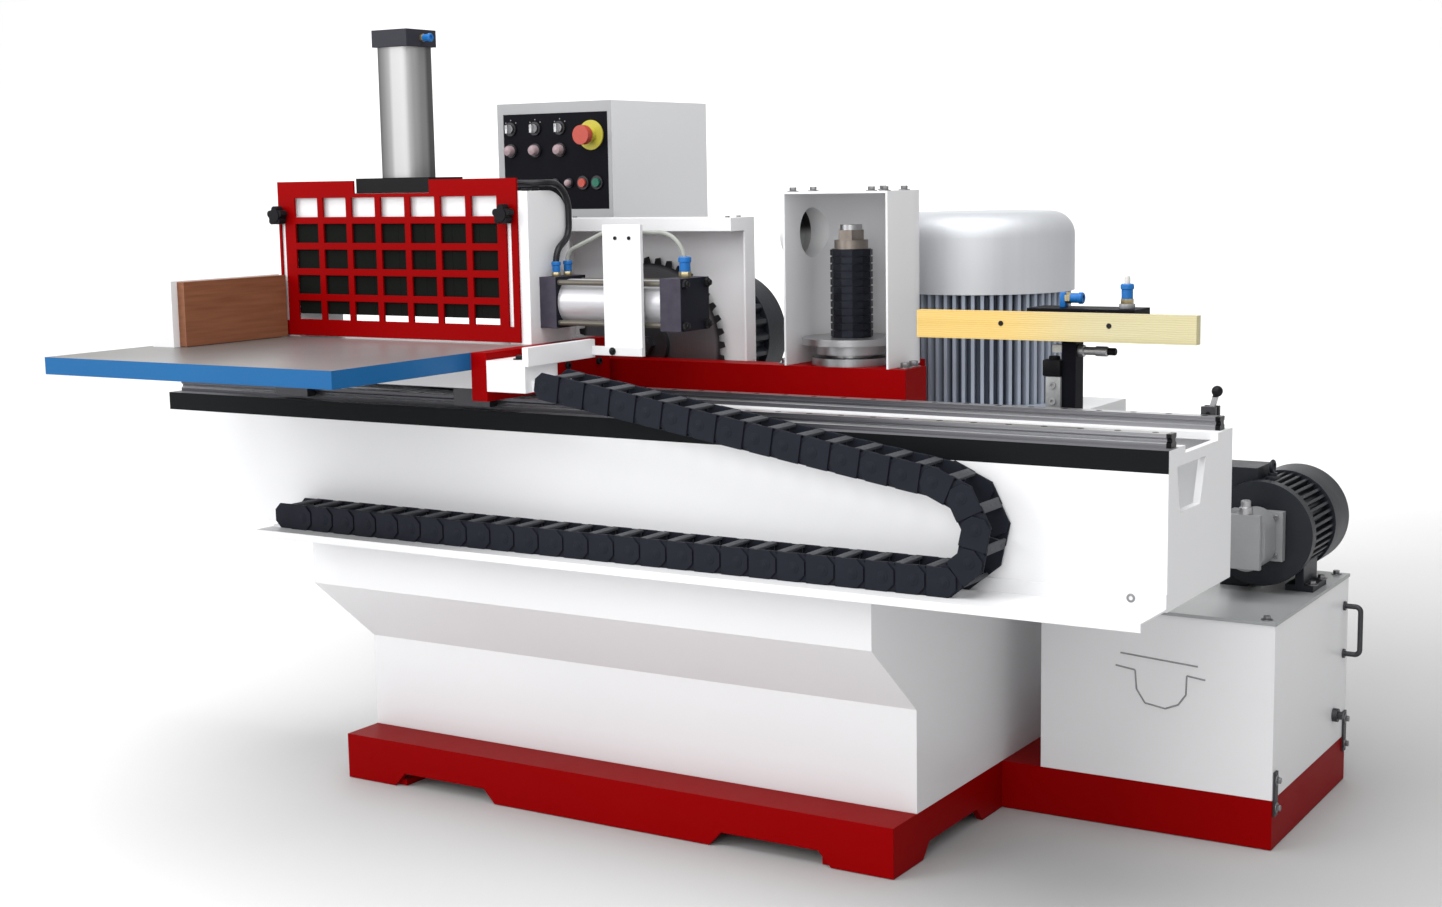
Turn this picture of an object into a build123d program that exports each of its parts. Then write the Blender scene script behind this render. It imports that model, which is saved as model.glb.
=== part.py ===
from build123d import *
import math
import os

os.makedirs("parts", exist_ok=True)

# Millimetres. X runs along the bed, -Y faces the operator, Z is up.
# The origin lies on the floor, midway between the four anchor holes of the plinth.

# Fits and clearances
fit = 0.02
slide_clearance = 0.05
button_clearance = 0.05
belt_clearance = 0.05
rail_clearance = 0.3
bore_clearance = 0.3
rod_clearance = 3.0
flush_gap = 0.5

# Plinth and pedestal
plinth_length = 1234.0
plinth_depth = 940.0
plinth_height = 90.0
plinth_wall = 12.0
plinth_roof = 8.0
notch_half = 125.0
notch_slope = 25.0
notch_height = 27.0
notch_offset = 370.0
side_notch_y = -230.0
anchor_inset_x = 77.0
anchor_inset_y = 70.0
anchor_hole = 18.0
anchor_pad_x = 134.0
anchor_pad_y = 120.0
anchor_pad_height = 12.0
pedestal_inset = 30.0
column_front = -379.0
column_height = 186.0
flare_height = 139.0
apron_height = 116.0
sheet_wall = 8.0
anchor_span_x = plinth_length - 2 * anchor_inset_x
anchor_span_y = plinth_depth - 2 * anchor_inset_y
pedestal_rear = plinth_depth / 2 - pedestal_inset
flare_low = plinth_height + column_height
flare_high = flare_low + flare_height

# Bed and guide rails
bed_left = -995.0
bed_length = 2113.0
bed_front = -545.0
bed_depth = 305.0
bed_height = 246.0
bed_plate = 12.0
rail_seat = 74.0
rib_spacing = 520.0
rail_inset_front = 38.0
rail_inset_rear = 35.0
rail_inset_left = 8.0
rail_inset_right = 6.0
rail_width = 23.0
rail_height = 22.0
rail_waist = 4.0
rail_steps = (7.0, 10.0, 13.0, 16.0)
bed_right = bed_left + bed_length
bed_rear = bed_front + bed_depth
bed_bottom = flare_high + apron_height
bed_top = bed_bottom + bed_height
rail_front_y = bed_front + rail_inset_front
rail_rear_y = bed_rear - rail_inset_rear

# Carriage, measured at its left stop
block_height = 40.0
block_length = 84.0
block_width = 66.0
block_lift = 6.0
block_inset = 60.0
saddle_height = 45.0
saddle_inset_left = 97.0
saddle_inset_right = 23.0
saddle_overhang = 5.0
table_left = -817.0
table_width = 690.0
table_front = -997.0
table_depth = 742.0
table_thickness = 31.0
table_skin = 15.0
table_rim = 18.0
side_bar_width = 34.0
side_bar_lift = 8.0
table_right = table_left + table_width
table_rear = table_front + table_depth
table_bottom = bed_top + block_height + saddle_height
table_top = table_bottom + table_thickness
saddle_left = table_left + saddle_inset_left
saddle_right = table_right - saddle_inset_right
saddle_front = bed_front - saddle_overhang

# Fence
fence_offset = 94.0
fence_board_thickness = 18.0
fence_height = 124.0
fence_foot = 57.0
fence_foot_height = 24.0
fence_wall = 21.0
fence_front = -745.0
fence_gap = 10.0
fence_face = table_left + fence_offset
fence_top = table_top + fence_height

# Clamp gate on the carriage
gate_front = -466.0
gate_depth = 126.0
gate_height = 281.0
gate_corner = 64.0
gate_inset = 77.0
gate_overhang = 3.0
gate_left_wall = 40.0
gate_right_wall = 48.0
beam_height = 52.0
beam_skin = 6.0
guard_thickness = 4.0
guard_gap = 3.0
guard_rise = 24.0
guard_short = 22.0
guard_columns = 7
guard_rows = 5
guard_hole_width = 60.0
guard_hole_height = 37.0
guard_pitch_x = 73.9
guard_pitch_z = 50.2
guard_first_x = 74.0
guard_first_z = 53.5
knob_inset_left = 11.0
knob_inset_right = 42.0
knob_height = 239.0
knob_stud = 10.0
knob_stud_depth = 18.0
slot_width = 11.0
slot_foot = 32.0
gate_rear = gate_front + gate_depth
gate_left = table_left + gate_inset
gate_right = table_right + gate_overhang
beam_top = table_top + gate_height
beam_bottom = beam_top - beam_height
guard_left = gate_left
guard_right = gate_right - guard_short
guard_top = beam_top + guard_rise
knob_left_x = gate_left + knob_inset_left
knob_right_x = gate_right - knob_inset_right
knob_z = table_top + knob_height
fence_rear = gate_front - fence_gap

# Press and side cylinders
press_offset = 294.0
press_inset = 51.0
press_flange_half = 91.0
press_flange_depth = 100.0
press_flange_height = 28.0
press_barrel = 80.0
press_barrel_corner = 14.0
press_barrel_length = 246.0
press_cap_height = 32.0
press_cap_margin = 3.0
press_rod = 25.0
press_rod_reach = 160.0
press_bore_reach = 230.0
press_plate_lift = 167.0
press_plate_thickness = 22.0
side_inset = 50.0
side_lift = 76.0
side_cap = 94.0
side_front_cap = 37.0
side_barrel = 84.0
side_barrel_length = 229.0
side_rear_cap = 44.0
side_rod = 25.0
side_rod_reach = 190.0
side_bore_reach = 196.0
tie_rod = 10.0
tie_rod_inset = 10.0
pusher_gap = 60.0
pusher_thickness = 18.0
pusher_width = 96.0
hose_radius = 6.0
thin_hose_radius = 4.0
press_x = gate_left + press_offset
press_y = gate_front + press_inset
press_plate_z = table_top + press_plate_lift
side_y = gate_rear - side_inset
side_z = table_top + side_lift

# Cable chain
chain_pitch = 54.0
chain_height = 48.0
chain_width = 78.0
chain_plate = 7.0
chain_bar = 5.0
chain_chamfer = 13.0
chain_radius = 81.0
chain_start = -617.0
chain_low_run = 1404.0
chain_up_run = 756.0
chain_end_height = 59.353
tray_lift = 6.0
tray_margin = 33.0
tray_sheet = 3.0
tray_upstand = 22.0
tray_lip = 14.0
tray_lead = 36.0
tray_top = bed_bottom + tray_lift
chain_y = bed_front - tray_sheet - chain_width / 2
tray_front = chain_y - chain_width / 2 - tray_margin
chain_step = 2 * math.degrees(math.asin(chain_pitch / (2 * chain_radius)))
links_low = round(chain_low_run / chain_pitch)
links_bend = math.floor(180 / chain_step)
links_up = round(chain_up_run / chain_pitch)

# Chain bracket and valve post on the carriage
bracket_length = 85.0
bracket_wall = 5.0
bracket_ahead = 53.0
bracket_behind = 42.0
bracket_drop = 37.0
bracket_sink = 13.0
post_gap = 3.0
post_reach = 118.0
post_width = 82.0
post_plate = 8.0
post_height = 219.0
post_bar = 16.0
bracket_left = table_right + side_bar_width
bracket_right = bracket_left + bracket_length
bracket_front = chain_y - bracket_ahead
bracket_rear = chain_y + bracket_behind
post_back = side_y - side_cap / 2 - post_gap
post_right = bracket_right + post_reach

# Cutter stand and platform
stand_left = -290.0
stand_drop = 37.0
stand_cover = 12.0
hood_setback = 18.0
hood_sheet = 4.0
platform_height = 70.0
platform_lift = 37.0
beam_depth = 52.0
foot_width = 24.0
foot_setback = 4.0
stand_top = bed_top - stand_drop
hood_front = bed_rear + hood_setback
platform_bottom = stand_top + platform_lift
platform_top = platform_bottom + platform_height

# Saw
saw_radius = 172.0
saw_thickness = 3.2
saw_teeth = 40
saw_shaft = 15.0
saw_setback = 68.0
saw_room_left = 20.0
saw_room_right = 59.0
saw_room_top = 76.0
saw_bay_room = 28.0
saw_bay_depth = 30.0
saw_nut_room = 23.0
saw_collar = 52.0
saw_loose_collar = 46.0
saw_collar_reach = 14.0
saw_nut = 20.0
saw_nut_height = 16.0
saw_hood_behind = 16.0
saw_hood_lip = 25.0
saw_wall_depth = 35.0
saw_hood_foot = 40.0
saw_hood_hole = 58.0
saw_motor_radius = 126.0
saw_motor_gap = 44.0
saw_motor_lift = 4.0
saw_motor_fins = 24
saw_fin_depth = 12.0
saw_shaft_reach = 148.0
saw_y = hood_front + saw_setback
saw_x = stand_left + saw_bay_room + saw_room_left + saw_radius
saw_z = max(stand_top + saw_motor_radius + saw_motor_lift, platform_top + saw_nut_room)
saw_hood_left = saw_x - saw_radius - saw_room_left
saw_hood_right = saw_x + saw_radius + saw_room_right
saw_hood_rear = saw_y + saw_hood_behind
saw_hood_top = saw_z + saw_radius + saw_room_top

# Spindle and its hood
spindle_gap = 211.0
spindle_y = -145.0
spindle_bearing = 40.0
spindle_nose = 20.0
spindle_tail = 22.0
spindle_tail_length = 68.0
housing_radius = 62.0
housing_drop = 50.0
housing_collar = 14.0
flange_radius = 92.0
flange_thickness = 12.0
flange_neck = 66.0
cutter_lift = 50.0
cutter_step = 13.5
cutter_radius = 39.0
cutters = 12
nut_collar = 16.0
nut_height = 18.0
hood_room_left = 4.0
hood_room_right = 18.0
hood_height = 317.0
hood_bend_setback = 25.0
duct_lift = 241.0
duct_radius = 46.0
duct_wall = 3.0
duct_length = 38.0
deck_margin_left = 32.0
deck_margin_right = 30.0
deck_margin_rear = 2.0
platform_tail = 64.0
platform_tail_depth = 84.0
spindle_x = saw_hood_right + spindle_gap
cutter_low = platform_top + cutter_lift
spindle_hood_left = spindle_x - flange_radius - hood_room_left - hood_sheet
spindle_hood_right = spindle_x + flange_radius + hood_room_right + hood_sheet
spindle_hood_radius = (spindle_hood_right - spindle_hood_left) / 2
spindle_hood_bend = spindle_y + hood_bend_setback
spindle_hood_top = platform_top + hood_height
duct_z = platform_top + duct_lift
deck_left = spindle_hood_left - deck_margin_left
deck_right = spindle_hood_right - deck_margin_right
deck_rear = spindle_hood_bend + spindle_hood_radius + deck_margin_rear
platform_right = deck_right + platform_tail
platform_tail_rear = hood_front + platform_tail_depth

# Main motor and belt drive
motor_offset = 111.0
motor_gap = 31.0
motor_radius = 170.0
motor_fins = 60
motor_fin_depth = 22.0
motor_flange = 8.0
motor_flange_height = 16.0
motor_shaft = 19.0
motor_shaft_reach = 118.0
motor_height = 240.0
cowl_height = 138.0
cowl_skirt = 14.0
cowl_wall = 7.0
cowl_corner = 46.0
fan_space = 80.0
stand_margin_right = 47.0
stand_margin_rear = 40.0
spindle_pulley_radius = 50.0
motor_pulley_radius = 80.0
pulley_rim = 3.0
belt_drop = 118.0
belt_width = 50.0
belt_thickness = 6.0
motor_x = spindle_x + motor_offset
motor_y = deck_rear + motor_gap + motor_radius
cowl_bottom = stand_top + motor_height
cowl_top = cowl_bottom + cowl_height
stand_right = motor_x + motor_radius + stand_margin_right
stand_rear = motor_y + motor_radius + stand_margin_rear
belt_low = stand_top - belt_drop
shaft_low = belt_low - spindle_tail

# Electrical cabinet and its controls, placed from the upper left corner of the panel
cabinet_gap = 10.0
cabinet_width = 299.0
cabinet_height = 825.0
cabinet_front = 60.0
cabinet_inset = 9.0
cabinet_wall = 6.0
panel_inset_left = 16.0
panel_inset_right = 10.0
panel_inset_top = 23.0
panel_height = 202.0
panel_thickness = 3.0
button_hole = 22.0
cap_radius = 9.0
collar_radius = 14.5
collar_height = 4.0
lamp_radius = 11.0
pilot_radius = 7.0
stop_disc = 31.0
stop_cap = 20.0
switch_depth = 24.0
switch_first = 20.0
switch_pitch = 65.0
selector_row = 31.0
lamp_row = 77.0
button_first = 136.0
button_pitch = 36.0
button_row = 147.0
stop_column = 231.0
stop_row = 48.0
cabinet_right = stand_left - cabinet_gap
cabinet_left = cabinet_right - cabinet_width
cabinet_rear = pedestal_rear - cabinet_inset
cabinet_top = bed_bottom + cabinet_height
panel_left = cabinet_left + panel_inset_left
panel_right = cabinet_right - panel_inset_right
panel_high = cabinet_top - panel_inset_top
panel_low = panel_high - panel_height
switch_columns = [panel_left + switch_first + switch_pitch * index for index in range(3)]
button_columns = [panel_left + button_first + button_pitch * index for index in range(4)]
selector_places = [(x, panel_high - selector_row) for x in switch_columns]
lamp_places = [(x, panel_high - lamp_row) for x in switch_columns]
pilot_places = [(x, panel_high - button_row) for x in button_columns[:2]]
button_places = [(x, panel_high - button_row) for x in button_columns[2:]]
stop_place = (panel_left + stop_column, panel_high - stop_row)

# Oil tank and pump
tank_gap = 78.0
tank_length = 435.0
tank_front = -16.0
tank_height = 320.0
tank_wall = 4.0
lid_thickness = 6.0
lid_overhang = 2.0
handle_span = 94.0
handle_reach = 32.0
handle_lift = 168.0
handle_inset = 30.0
plug_lift = 60.0
plug_inset = 90.0
strap_drop = 30.0
strap_rise = 50.0
strap_inset = 14.0
pump_inset = 100.0
pump_motor_radius = 96.0
pump_motor_lift = 16.0
pump_motor_front = 214.0
pump_motor_length = 254.0
pump_length = 68.0
pump_flange = 18.0
pump_cover = 12.0
tank_left = plinth_length / 2 + tank_gap
tank_right = tank_left + tank_length
tank_rear = plinth_depth / 2
tank_top = plinth_height + tank_height
pump_x = tank_right - pump_inset
pump_z = tank_top + pump_motor_radius + pump_motor_lift

# End-aligning board and stop lever
board_gap = 63.0
board_length = 505.0
board_width = 48.0
board_thickness = 20.0
board_setback = 5.0
board_lift = 15.0
guide_block_offset = 189.0
guide_block_length = 194.0
guide_block_gap = 24.0
guide_block_depth = 76.0
guide_block_lift = 4.0
guide_block_height = 48.0
guide_radius = 9.0
guide_inset = 22.0
guide_height = 35.0
guide_plate = 8.0
guide_bar_length = 126.0
board_post_offset = 252.0
board_post_width = 25.0
board_post_depth = 36.0
board_post_gap = 29.0
board_post_foot = 12.0
board_post_drop = 177.0
lever_inset_x = 36.0
lever_inset_y = 3.0
lever_pin = 4.0
lever_pin_height = 22.0
board_left = spindle_hood_right + board_gap
board_right = board_left + board_length
board_front = bed_rear + board_setback
board_back = board_front + board_thickness
board_low = table_top + board_lift
board_high = board_low + board_width
guide_block_left = board_left + guide_block_offset
guide_block_right = guide_block_left + guide_block_length
guide_block_low = board_low + guide_block_lift
guide_block_high = guide_block_low + guide_block_height
guide_places = (guide_block_left + guide_inset, guide_block_right - guide_inset)
guide_z = board_low + guide_height
board_post_left = board_left + board_post_offset
board_post_right = board_post_left + board_post_width
board_post_front = board_back + board_post_gap
board_post_rear = board_post_front + board_post_depth
board_post_low = bed_top - board_post_drop
lever_x = bed_right - lever_inset_x
lever_y = bed_rear - lever_inset_y
lever_pin_z = bed_top + lever_pin_height


def block(x0, x1, y0, y1, z0, z1):
    """Box given by its six faces."""
    return Pos((x0 + x1) / 2, (y0 + y1) / 2, (z0 + z1) / 2) * Box(x1 - x0, y1 - y0, z1 - z0)


def rod_x(x0, x1, y, z, radius):
    return Pos((x0 + x1) / 2, y, z) * Rot(0, 90, 0) * Cylinder(radius, x1 - x0)


def rod_y(x, y0, y1, z, radius):
    return Pos(x, (y0 + y1) / 2, z) * Rot(90, 0, 0) * Cylinder(radius, y1 - y0)


def rod_z(x, y, z0, z1, radius):
    return Pos(x, y, (z0 + z1) / 2) * Cylinder(radius, z1 - z0)


def plan(points, z0, z1):
    """Upright prism on a plan outline."""
    return Pos(0, 0, z0) * extrude(make_face(Polyline(*points, close=True)), z1 - z0)


def profile_x(points, x0, x1):
    """Prism along X from an outline of (y, z) points."""
    face = make_face(Polyline(*[(x0, y, z) for y, z in points], close=True))
    return extrude(face, x1 - x0, dir=(1, 0, 0))


def profile_y(points, y0, y1):
    """Prism along Y from an outline of (x, z) points."""
    face = make_face(Polyline(*[(x, y0, z) for x, z in points], close=True))
    return extrude(face, y1 - y0, dir=(0, 1, 0))


def on_circle(x, y, radius, degrees):
    angle = math.radians(degrees)
    return (x + radius * math.cos(angle), y + radius * math.sin(angle))


def tube(points, radius, bend):
    """Round hose through straight runs joined by tangent arcs."""
    path = FilletPolyline(*points, radius=bend)
    ring = Plane(origin=path @ 0, z_dir=path % 0) * Circle(radius)
    return sweep(ring, path=path)


# Floor unit


def plinth():
    half_x = plinth_length / 2
    half_y = plinth_depth / 2
    outline = [(-half_x, -half_y), (half_x, -half_y), (half_x, tank_front), (tank_right, tank_front)]
    outline += [(tank_right, half_y), (-half_x, half_y)]
    body = plan(outline, 0, plinth_height)
    inner = plinth_wall
    roof = plinth_height - plinth_roof
    body -= block(-half_x + inner, half_x - inner, -half_y + inner, half_y - inner, 0, roof)
    body -= block(half_x + inner, tank_right - inner, tank_front + inner, half_y - inner, 0, roof)
    flat = notch_half - notch_slope
    notch = [(-notch_half, 0), (-flat, notch_height), (flat, notch_height), (notch_half, 0)]
    for centre in (-notch_offset, notch_offset):
        cut = profile_y([(centre + x, z) for x, z in notch], -half_y - 1, -half_y + inner + 1)
        body -= cut
        body -= mirror(cut, about=Plane.XZ)
    for side in (-1, 1):
        x = side * half_x
        body -= profile_x([(y + side_notch_y, z) for y, z in notch], x - inner - 1, x + inner + 1)
    pad_x = anchor_pad_x / 2
    pad_y = anchor_pad_y / 2
    for sx in (-1, 1):
        for sy in (-1, 1):
            x = sx * anchor_span_x / 2
            y = sy * anchor_span_y / 2
            body += block(x - pad_x, x + pad_x, y - pad_y, y + pad_y, 0, anchor_pad_height)
            body -= rod_z(x, y, -1, anchor_pad_height + 1, anchor_hole / 2)
    return body


def pedestal():
    """Folded column with a flare at the front that carries the bed."""
    half = plinth_length / 2
    front = [(bed_front, flare_high), (bed_front, bed_bottom), (pedestal_rear, bed_bottom)]
    column = [(pedestal_rear, plinth_height), (column_front, plinth_height), (column_front, flare_low)]
    body = profile_x(front + column, -half, half)
    wall = sheet_wall
    hollow = [(bed_front + wall, flare_high + wall / 2), (bed_front + wall, bed_bottom - wall)]
    hollow += [(pedestal_rear - wall, bed_bottom - wall), (pedestal_rear - wall, plinth_height - 1)]
    hollow += [(column_front + wall, plinth_height - 1), (column_front + wall, flare_low + wall / 2)]
    return body - profile_x(hollow, -half + wall, half - wall)


def bed():
    """Girder of two side plates, a floor, two rail seats and windowed ribs."""
    body = block(bed_left, bed_right, bed_front, bed_front + bed_plate, bed_bottom, bed_top)
    body += block(bed_left, bed_right, bed_rear - bed_plate, bed_rear, bed_bottom, bed_top)
    body += block(bed_left, bed_right, bed_front, bed_rear, bed_bottom, bed_bottom + bed_plate)
    body += block(bed_left, bed_right, bed_front, bed_front + rail_seat, bed_top - bed_plate, bed_top)
    body += block(bed_left, bed_right, bed_rear - rail_seat, bed_rear, bed_top - bed_plate, bed_top)
    y = bed_front
    high = bed_top - 29
    low = bed_top - 101
    window = [(y + 38, high), (y + 173, high), (y + 147, low), (y + 52, low)]
    for x in (bed_left, -rib_spacing, 0.0, rib_spacing, bed_right - bed_plate):
        rib = block(x, x + bed_plate, bed_front, bed_rear, bed_bottom, bed_top - bed_plate)
        body += rib - profile_x(window, x - 1, x + bed_plate + 1)
    return body


def rail_outline(y, grow):
    """Half-grooved guide rail section; grow widens it for the runner's slot."""
    w = rail_width / 2 + grow
    waist = w - rail_waist
    base = bed_top
    top = base + rail_height + grow
    low, groove_low, groove_high, high = rail_steps
    right = [(y + w, base), (y + w, base + low), (y + waist, base + groove_low)]
    right += [(y + waist, base + groove_high), (y + w, base + high), (y + w, top)]
    left = [(2 * y - a, z) for a, z in reversed(right)]
    return right + left


def guide_rails():
    x0 = bed_left + rail_inset_left
    x1 = bed_right - rail_inset_right
    return Compound(children=[profile_x(rail_outline(y, 0), x0, x1) for y in (rail_front_y, rail_rear_y)])


def chain_tray():
    """Bent shelf for the flat run, with the plate that holds the first link."""
    left = chain_start - tray_lead
    body = block(left, bed_right, tray_front, bed_front, tray_top - tray_sheet, tray_top)
    body += block(left, bed_right, tray_front, tray_front + tray_sheet, tray_top - tray_lip, tray_top)
    back = bed_front - tray_sheet
    body += block(left, bed_right, back, bed_front, tray_top - tray_sheet, tray_top + tray_upstand)
    half = chain_width / 2 - chain_plate - flush_gap
    x1 = chain_start + 18
    body += block(x1 - 48, x1, chain_y - half, chain_y + half, tray_top, tray_top + 4)
    return body + block(x1 - 22, x1, chain_y - half, chain_y + half, tray_top, tray_top + chain_height - 8)


# Cable chain: real links, each with an inner tongue and an outer fork


def chain_link():
    """One link with its first pivot at the origin and the next one a pitch along X."""
    h = chain_height / 2
    end = h - 4
    cut = chain_chamfer
    mid = chain_pitch / 2
    tip = chain_pitch + end
    tongue = [(-end, cut - h), (cut - end, -h), (mid + 4, -h), (mid + 4, h), (cut - end, h), (-end, h - cut)]
    fork = [(mid - 4, -h), (tip - cut, -h), (tip, cut - h), (tip, h - cut), (tip - cut, h), (mid - 4, h)]
    half = chain_width / 2
    layer = chain_plate / 2
    link = profile_y(fork, half - layer, half) + profile_y(fork, -half, layer - half)
    link += profile_y(tongue, half - 2 * layer, half - layer)
    link += profile_y(tongue, layer - half, 2 * layer - half)
    for z in (-h, h - chain_bar):
        link += block(mid - 4, mid + 4, layer - half, half - layer, z, z + chain_bar)
    return link


def chain_rise():
    """Slope of the upper run that brings its last link to the carriage bracket."""
    z = tray_top + chain_height / 2
    for index in range(links_bend):
        z += chain_pitch * math.sin(math.radians(chain_step * (index + 1)))
    climb = bed_top + chain_end_height - z
    return math.degrees(math.asin(climb / (links_up * chain_pitch)))


def chain_pivots():
    """Position and heading of every link, and of the pin behind the last one."""
    x = chain_start
    z = tray_top + chain_height / 2
    last = 180 - chain_rise()
    heading = 0.0
    places = []
    for index in range(links_low + links_bend + links_up):
        if index >= links_low:
            heading = min(heading + chain_step, last)
        places.append((x, z, heading))
        x += chain_pitch * math.cos(math.radians(heading))
        z += chain_pitch * math.sin(math.radians(heading))
    return places + [(x, z, heading)]


def chain_part(first, count):
    link = chain_link()
    places = chain_pivots()[first:first + count]
    return Compound(children=[Pos(x, chain_y, z) * Rot(0, -a, 0) * link for x, z, a in places])


# Carriage


def bearing_blocks():
    """Four runners, each slotted for its rail."""
    half = block_length / 2
    wide = block_width / 2
    runners = []
    for y in (rail_front_y, rail_rear_y):
        for x in (saddle_left + block_inset, saddle_right - block_inset):
            body = block(x - half, x + half, y - wide, y + wide, bed_top + block_lift, bed_top + block_height)
            body -= profile_x(rail_outline(y, rail_clearance), x - half - 1, x + half + 1)
            runners.append(body)
    return Compound(children=runners)


def saddle():
    """Carriage casting with two pockets in its underside."""
    z0 = bed_top + block_height
    body = block(saddle_left, saddle_right, saddle_front, table_rear - 4, z0, table_bottom)
    middle = (saddle_left + saddle_right) / 2
    for x0, x1 in ((saddle_left + 130, middle - 10), (middle + 10, saddle_right - 130)):
        body -= block(x0, x1, saddle_front + 84, table_rear - 88, z0 - 1, table_bottom - 12)
    return body


def table():
    """Table plate with two pockets under its overhang."""
    body = block(table_left, table_right, table_front, table_rear, table_bottom, table_top)
    middle = (table_left + table_right) / 2
    rim = table_rim
    for x0, x1 in ((table_left + rim, middle - rim / 2), (middle + rim / 2, table_right - rim)):
        body -= block(x0, x1, table_front + rim, saddle_front - 12, table_bottom - 1, table_top - table_skin)
    return body


def side_bar():
    low = bed_top + rail_height + side_bar_lift
    return block(table_right, bracket_left, bracket_front, table_rear - 7, low, table_top)


def valve_post():
    """Open box for the chain end, a flat bar to the rear and an upright valve plate."""
    x0 = bracket_left
    x1 = bracket_right
    w = bracket_wall
    low = table_bottom - bracket_drop
    high = table_top - bracket_sink
    body = block(x0, x1, bracket_front, bracket_rear, low, high)
    body -= block(x0 + w, x1 - w, bracket_front + w, bracket_rear + 1, low - 1, high - w)
    body += block(x1 - w, x1 + 8, bracket_front, post_back, table_top - 21, table_top + 12)
    body += block(x1 - w, post_right, post_back - 10, post_back, table_top - post_bar, table_top)
    left = post_right - post_width
    foot = table_top - post_bar
    body += block(left, post_right, post_back - post_plate, post_back, foot, table_top + post_height)
    half = chain_width / 2 - chain_plate / 2 - flush_gap
    x, z, heading = chain_pivots()[-1]
    return body + block(x1 - 2, x + 8, chain_y - half, chain_y + half, z - 10, z + 10)


def fence_bracket():
    x1 = fence_face - fence_board_thickness
    front = fence_front - 15
    foot = block(x1 - fence_foot, x1, front, fence_rear, table_top, table_top + fence_foot_height)
    return foot + block(x1 - fence_wall, x1, front, fence_rear, table_top, fence_top)


def fence_board():
    x0 = fence_face - fence_board_thickness
    return block(x0, fence_face, fence_front, fence_rear, table_top + 1, fence_top - 2)


def gate_plate(x0, x1, knob_x):
    """Side plate of the gate with a rounded upper rear corner and the hole for its knob."""
    body = block(x0, x1, gate_front, gate_rear, table_top, beam_top)
    corner = body.edges().filter_by(Axis.X).sort_by(Axis.Z)[-2:].sort_by(Axis.Y)[-1]
    body = fillet(corner, gate_corner)
    depth = gate_front + knob_stud_depth + 2
    return body - rod_y(knob_x, gate_front - 1, depth, knob_z, knob_stud / 2 + slide_clearance)


def gate_plate_left():
    return gate_plate(gate_left, gate_left + gate_left_wall, knob_left_x)


def gate_plate_right():
    x0 = gate_right - gate_right_wall
    body = gate_plate(x0, gate_right, knob_right_x)
    return body - rod_x(x0 - 1, gate_right + 1, side_y, side_z, side_rod / 2 + rod_clearance)


def gate_beam():
    """Channel between the side plates, drilled for the press rod."""
    x0 = gate_left + gate_left_wall
    x1 = gate_right - gate_right_wall
    y0 = gate_front + 6
    y1 = gate_rear - 20
    s = beam_skin
    body = block(x0, x1, y0, y1, beam_bottom, beam_top)
    body -= block(x0 + 1, x1 - 1, y0 + s, y1 - s, beam_bottom - 1, beam_top - s)
    return body - rod_z(press_x, press_y, beam_bottom - 1, beam_top + 1, press_rod / 2 + rod_clearance)


def guard():
    """Perforated guard with a slot for each knob and a notch for the cylinder flange."""
    y1 = gate_front
    y0 = y1 - guard_thickness
    w = guard_hole_width / 2
    h = guard_hole_height / 2
    body = block(guard_left, guard_right, y0, y1, table_top + guard_gap, guard_top)
    for column in range(guard_columns):
        for row in range(guard_rows):
            x = guard_left + guard_first_x + guard_pitch_x * column
            z = table_top + guard_first_z + guard_pitch_z * row
            body -= block(x - w, x + w, y0 - 1, y1 + 1, z - h, z + h)
    half = slot_width / 2
    for x in (knob_left_x, knob_right_x):
        body -= block(x - half, x + half, y0 - 1, y1 + 1, table_top + slot_foot, knob_z + half)
    notch = press_flange_half + rod_clearance
    return body - block(press_x - notch, press_x + notch, y0 - 1, y1 + 1, beam_top - 1, guard_top + 1)


def star_knob(x):
    """Five-lobed knob on a stud that runs through the guard slot into the side plate."""
    y1 = gate_front - guard_thickness
    body = rod_y(x, y1 - 26, y1 - 4, knob_z, 13)
    for lobe in range(5):
        lobe_x, lobe_z = on_circle(x, knob_z, 12, 90 + 72 * lobe)
        body += rod_y(lobe_x, y1 - 24, y1 - 6, lobe_z, 7)
    body += rod_y(x, y1 - 6, gate_front + knob_stud_depth, knob_z, knob_stud / 2)
    return body + rod_y(x, y1 - 6, y1, knob_z, 10)


def press_cylinder():
    """Square-profile barrel with end caps, bored for the piston rod."""
    z0 = beam_top
    z1 = z0 + press_flange_height
    z2 = z1 + press_barrel_length
    wide = press_flange_half
    deep = press_flange_depth / 2
    half = press_barrel / 2 + press_cap_margin
    flange = block(press_x - wide, press_x + wide, press_y - deep, press_y + deep, z0, z1)
    section = RectangleRounded(press_barrel, press_barrel, press_barrel_corner)
    barrel = Pos(press_x, press_y, z1) * extrude(section, press_barrel_length)
    cap = block(press_x - half, press_x + half, press_y - half, press_y + half, z2, z2 + press_cap_height)
    bore = rod_z(press_x, press_y, z0 - 1, z0 + press_bore_reach, press_rod / 2 + slide_clearance)
    return flange + barrel + cap - bore


def press_ram():
    """Piston rod with the press plate on its lower end."""
    z0 = press_plate_z
    z1 = z0 + press_plate_thickness
    body = rod_z(press_x, press_y, z0 + 10, beam_top + press_rod_reach, press_rod / 2)
    x0 = gate_left + gate_left_wall + 21
    x1 = gate_right - gate_right_wall - 43
    body += block(x0, x1, gate_front + 16, gate_rear - 30, z0, z1)
    return body + rod_z(press_x, press_y, z1 - 2, z1 + 12, 24)


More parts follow.
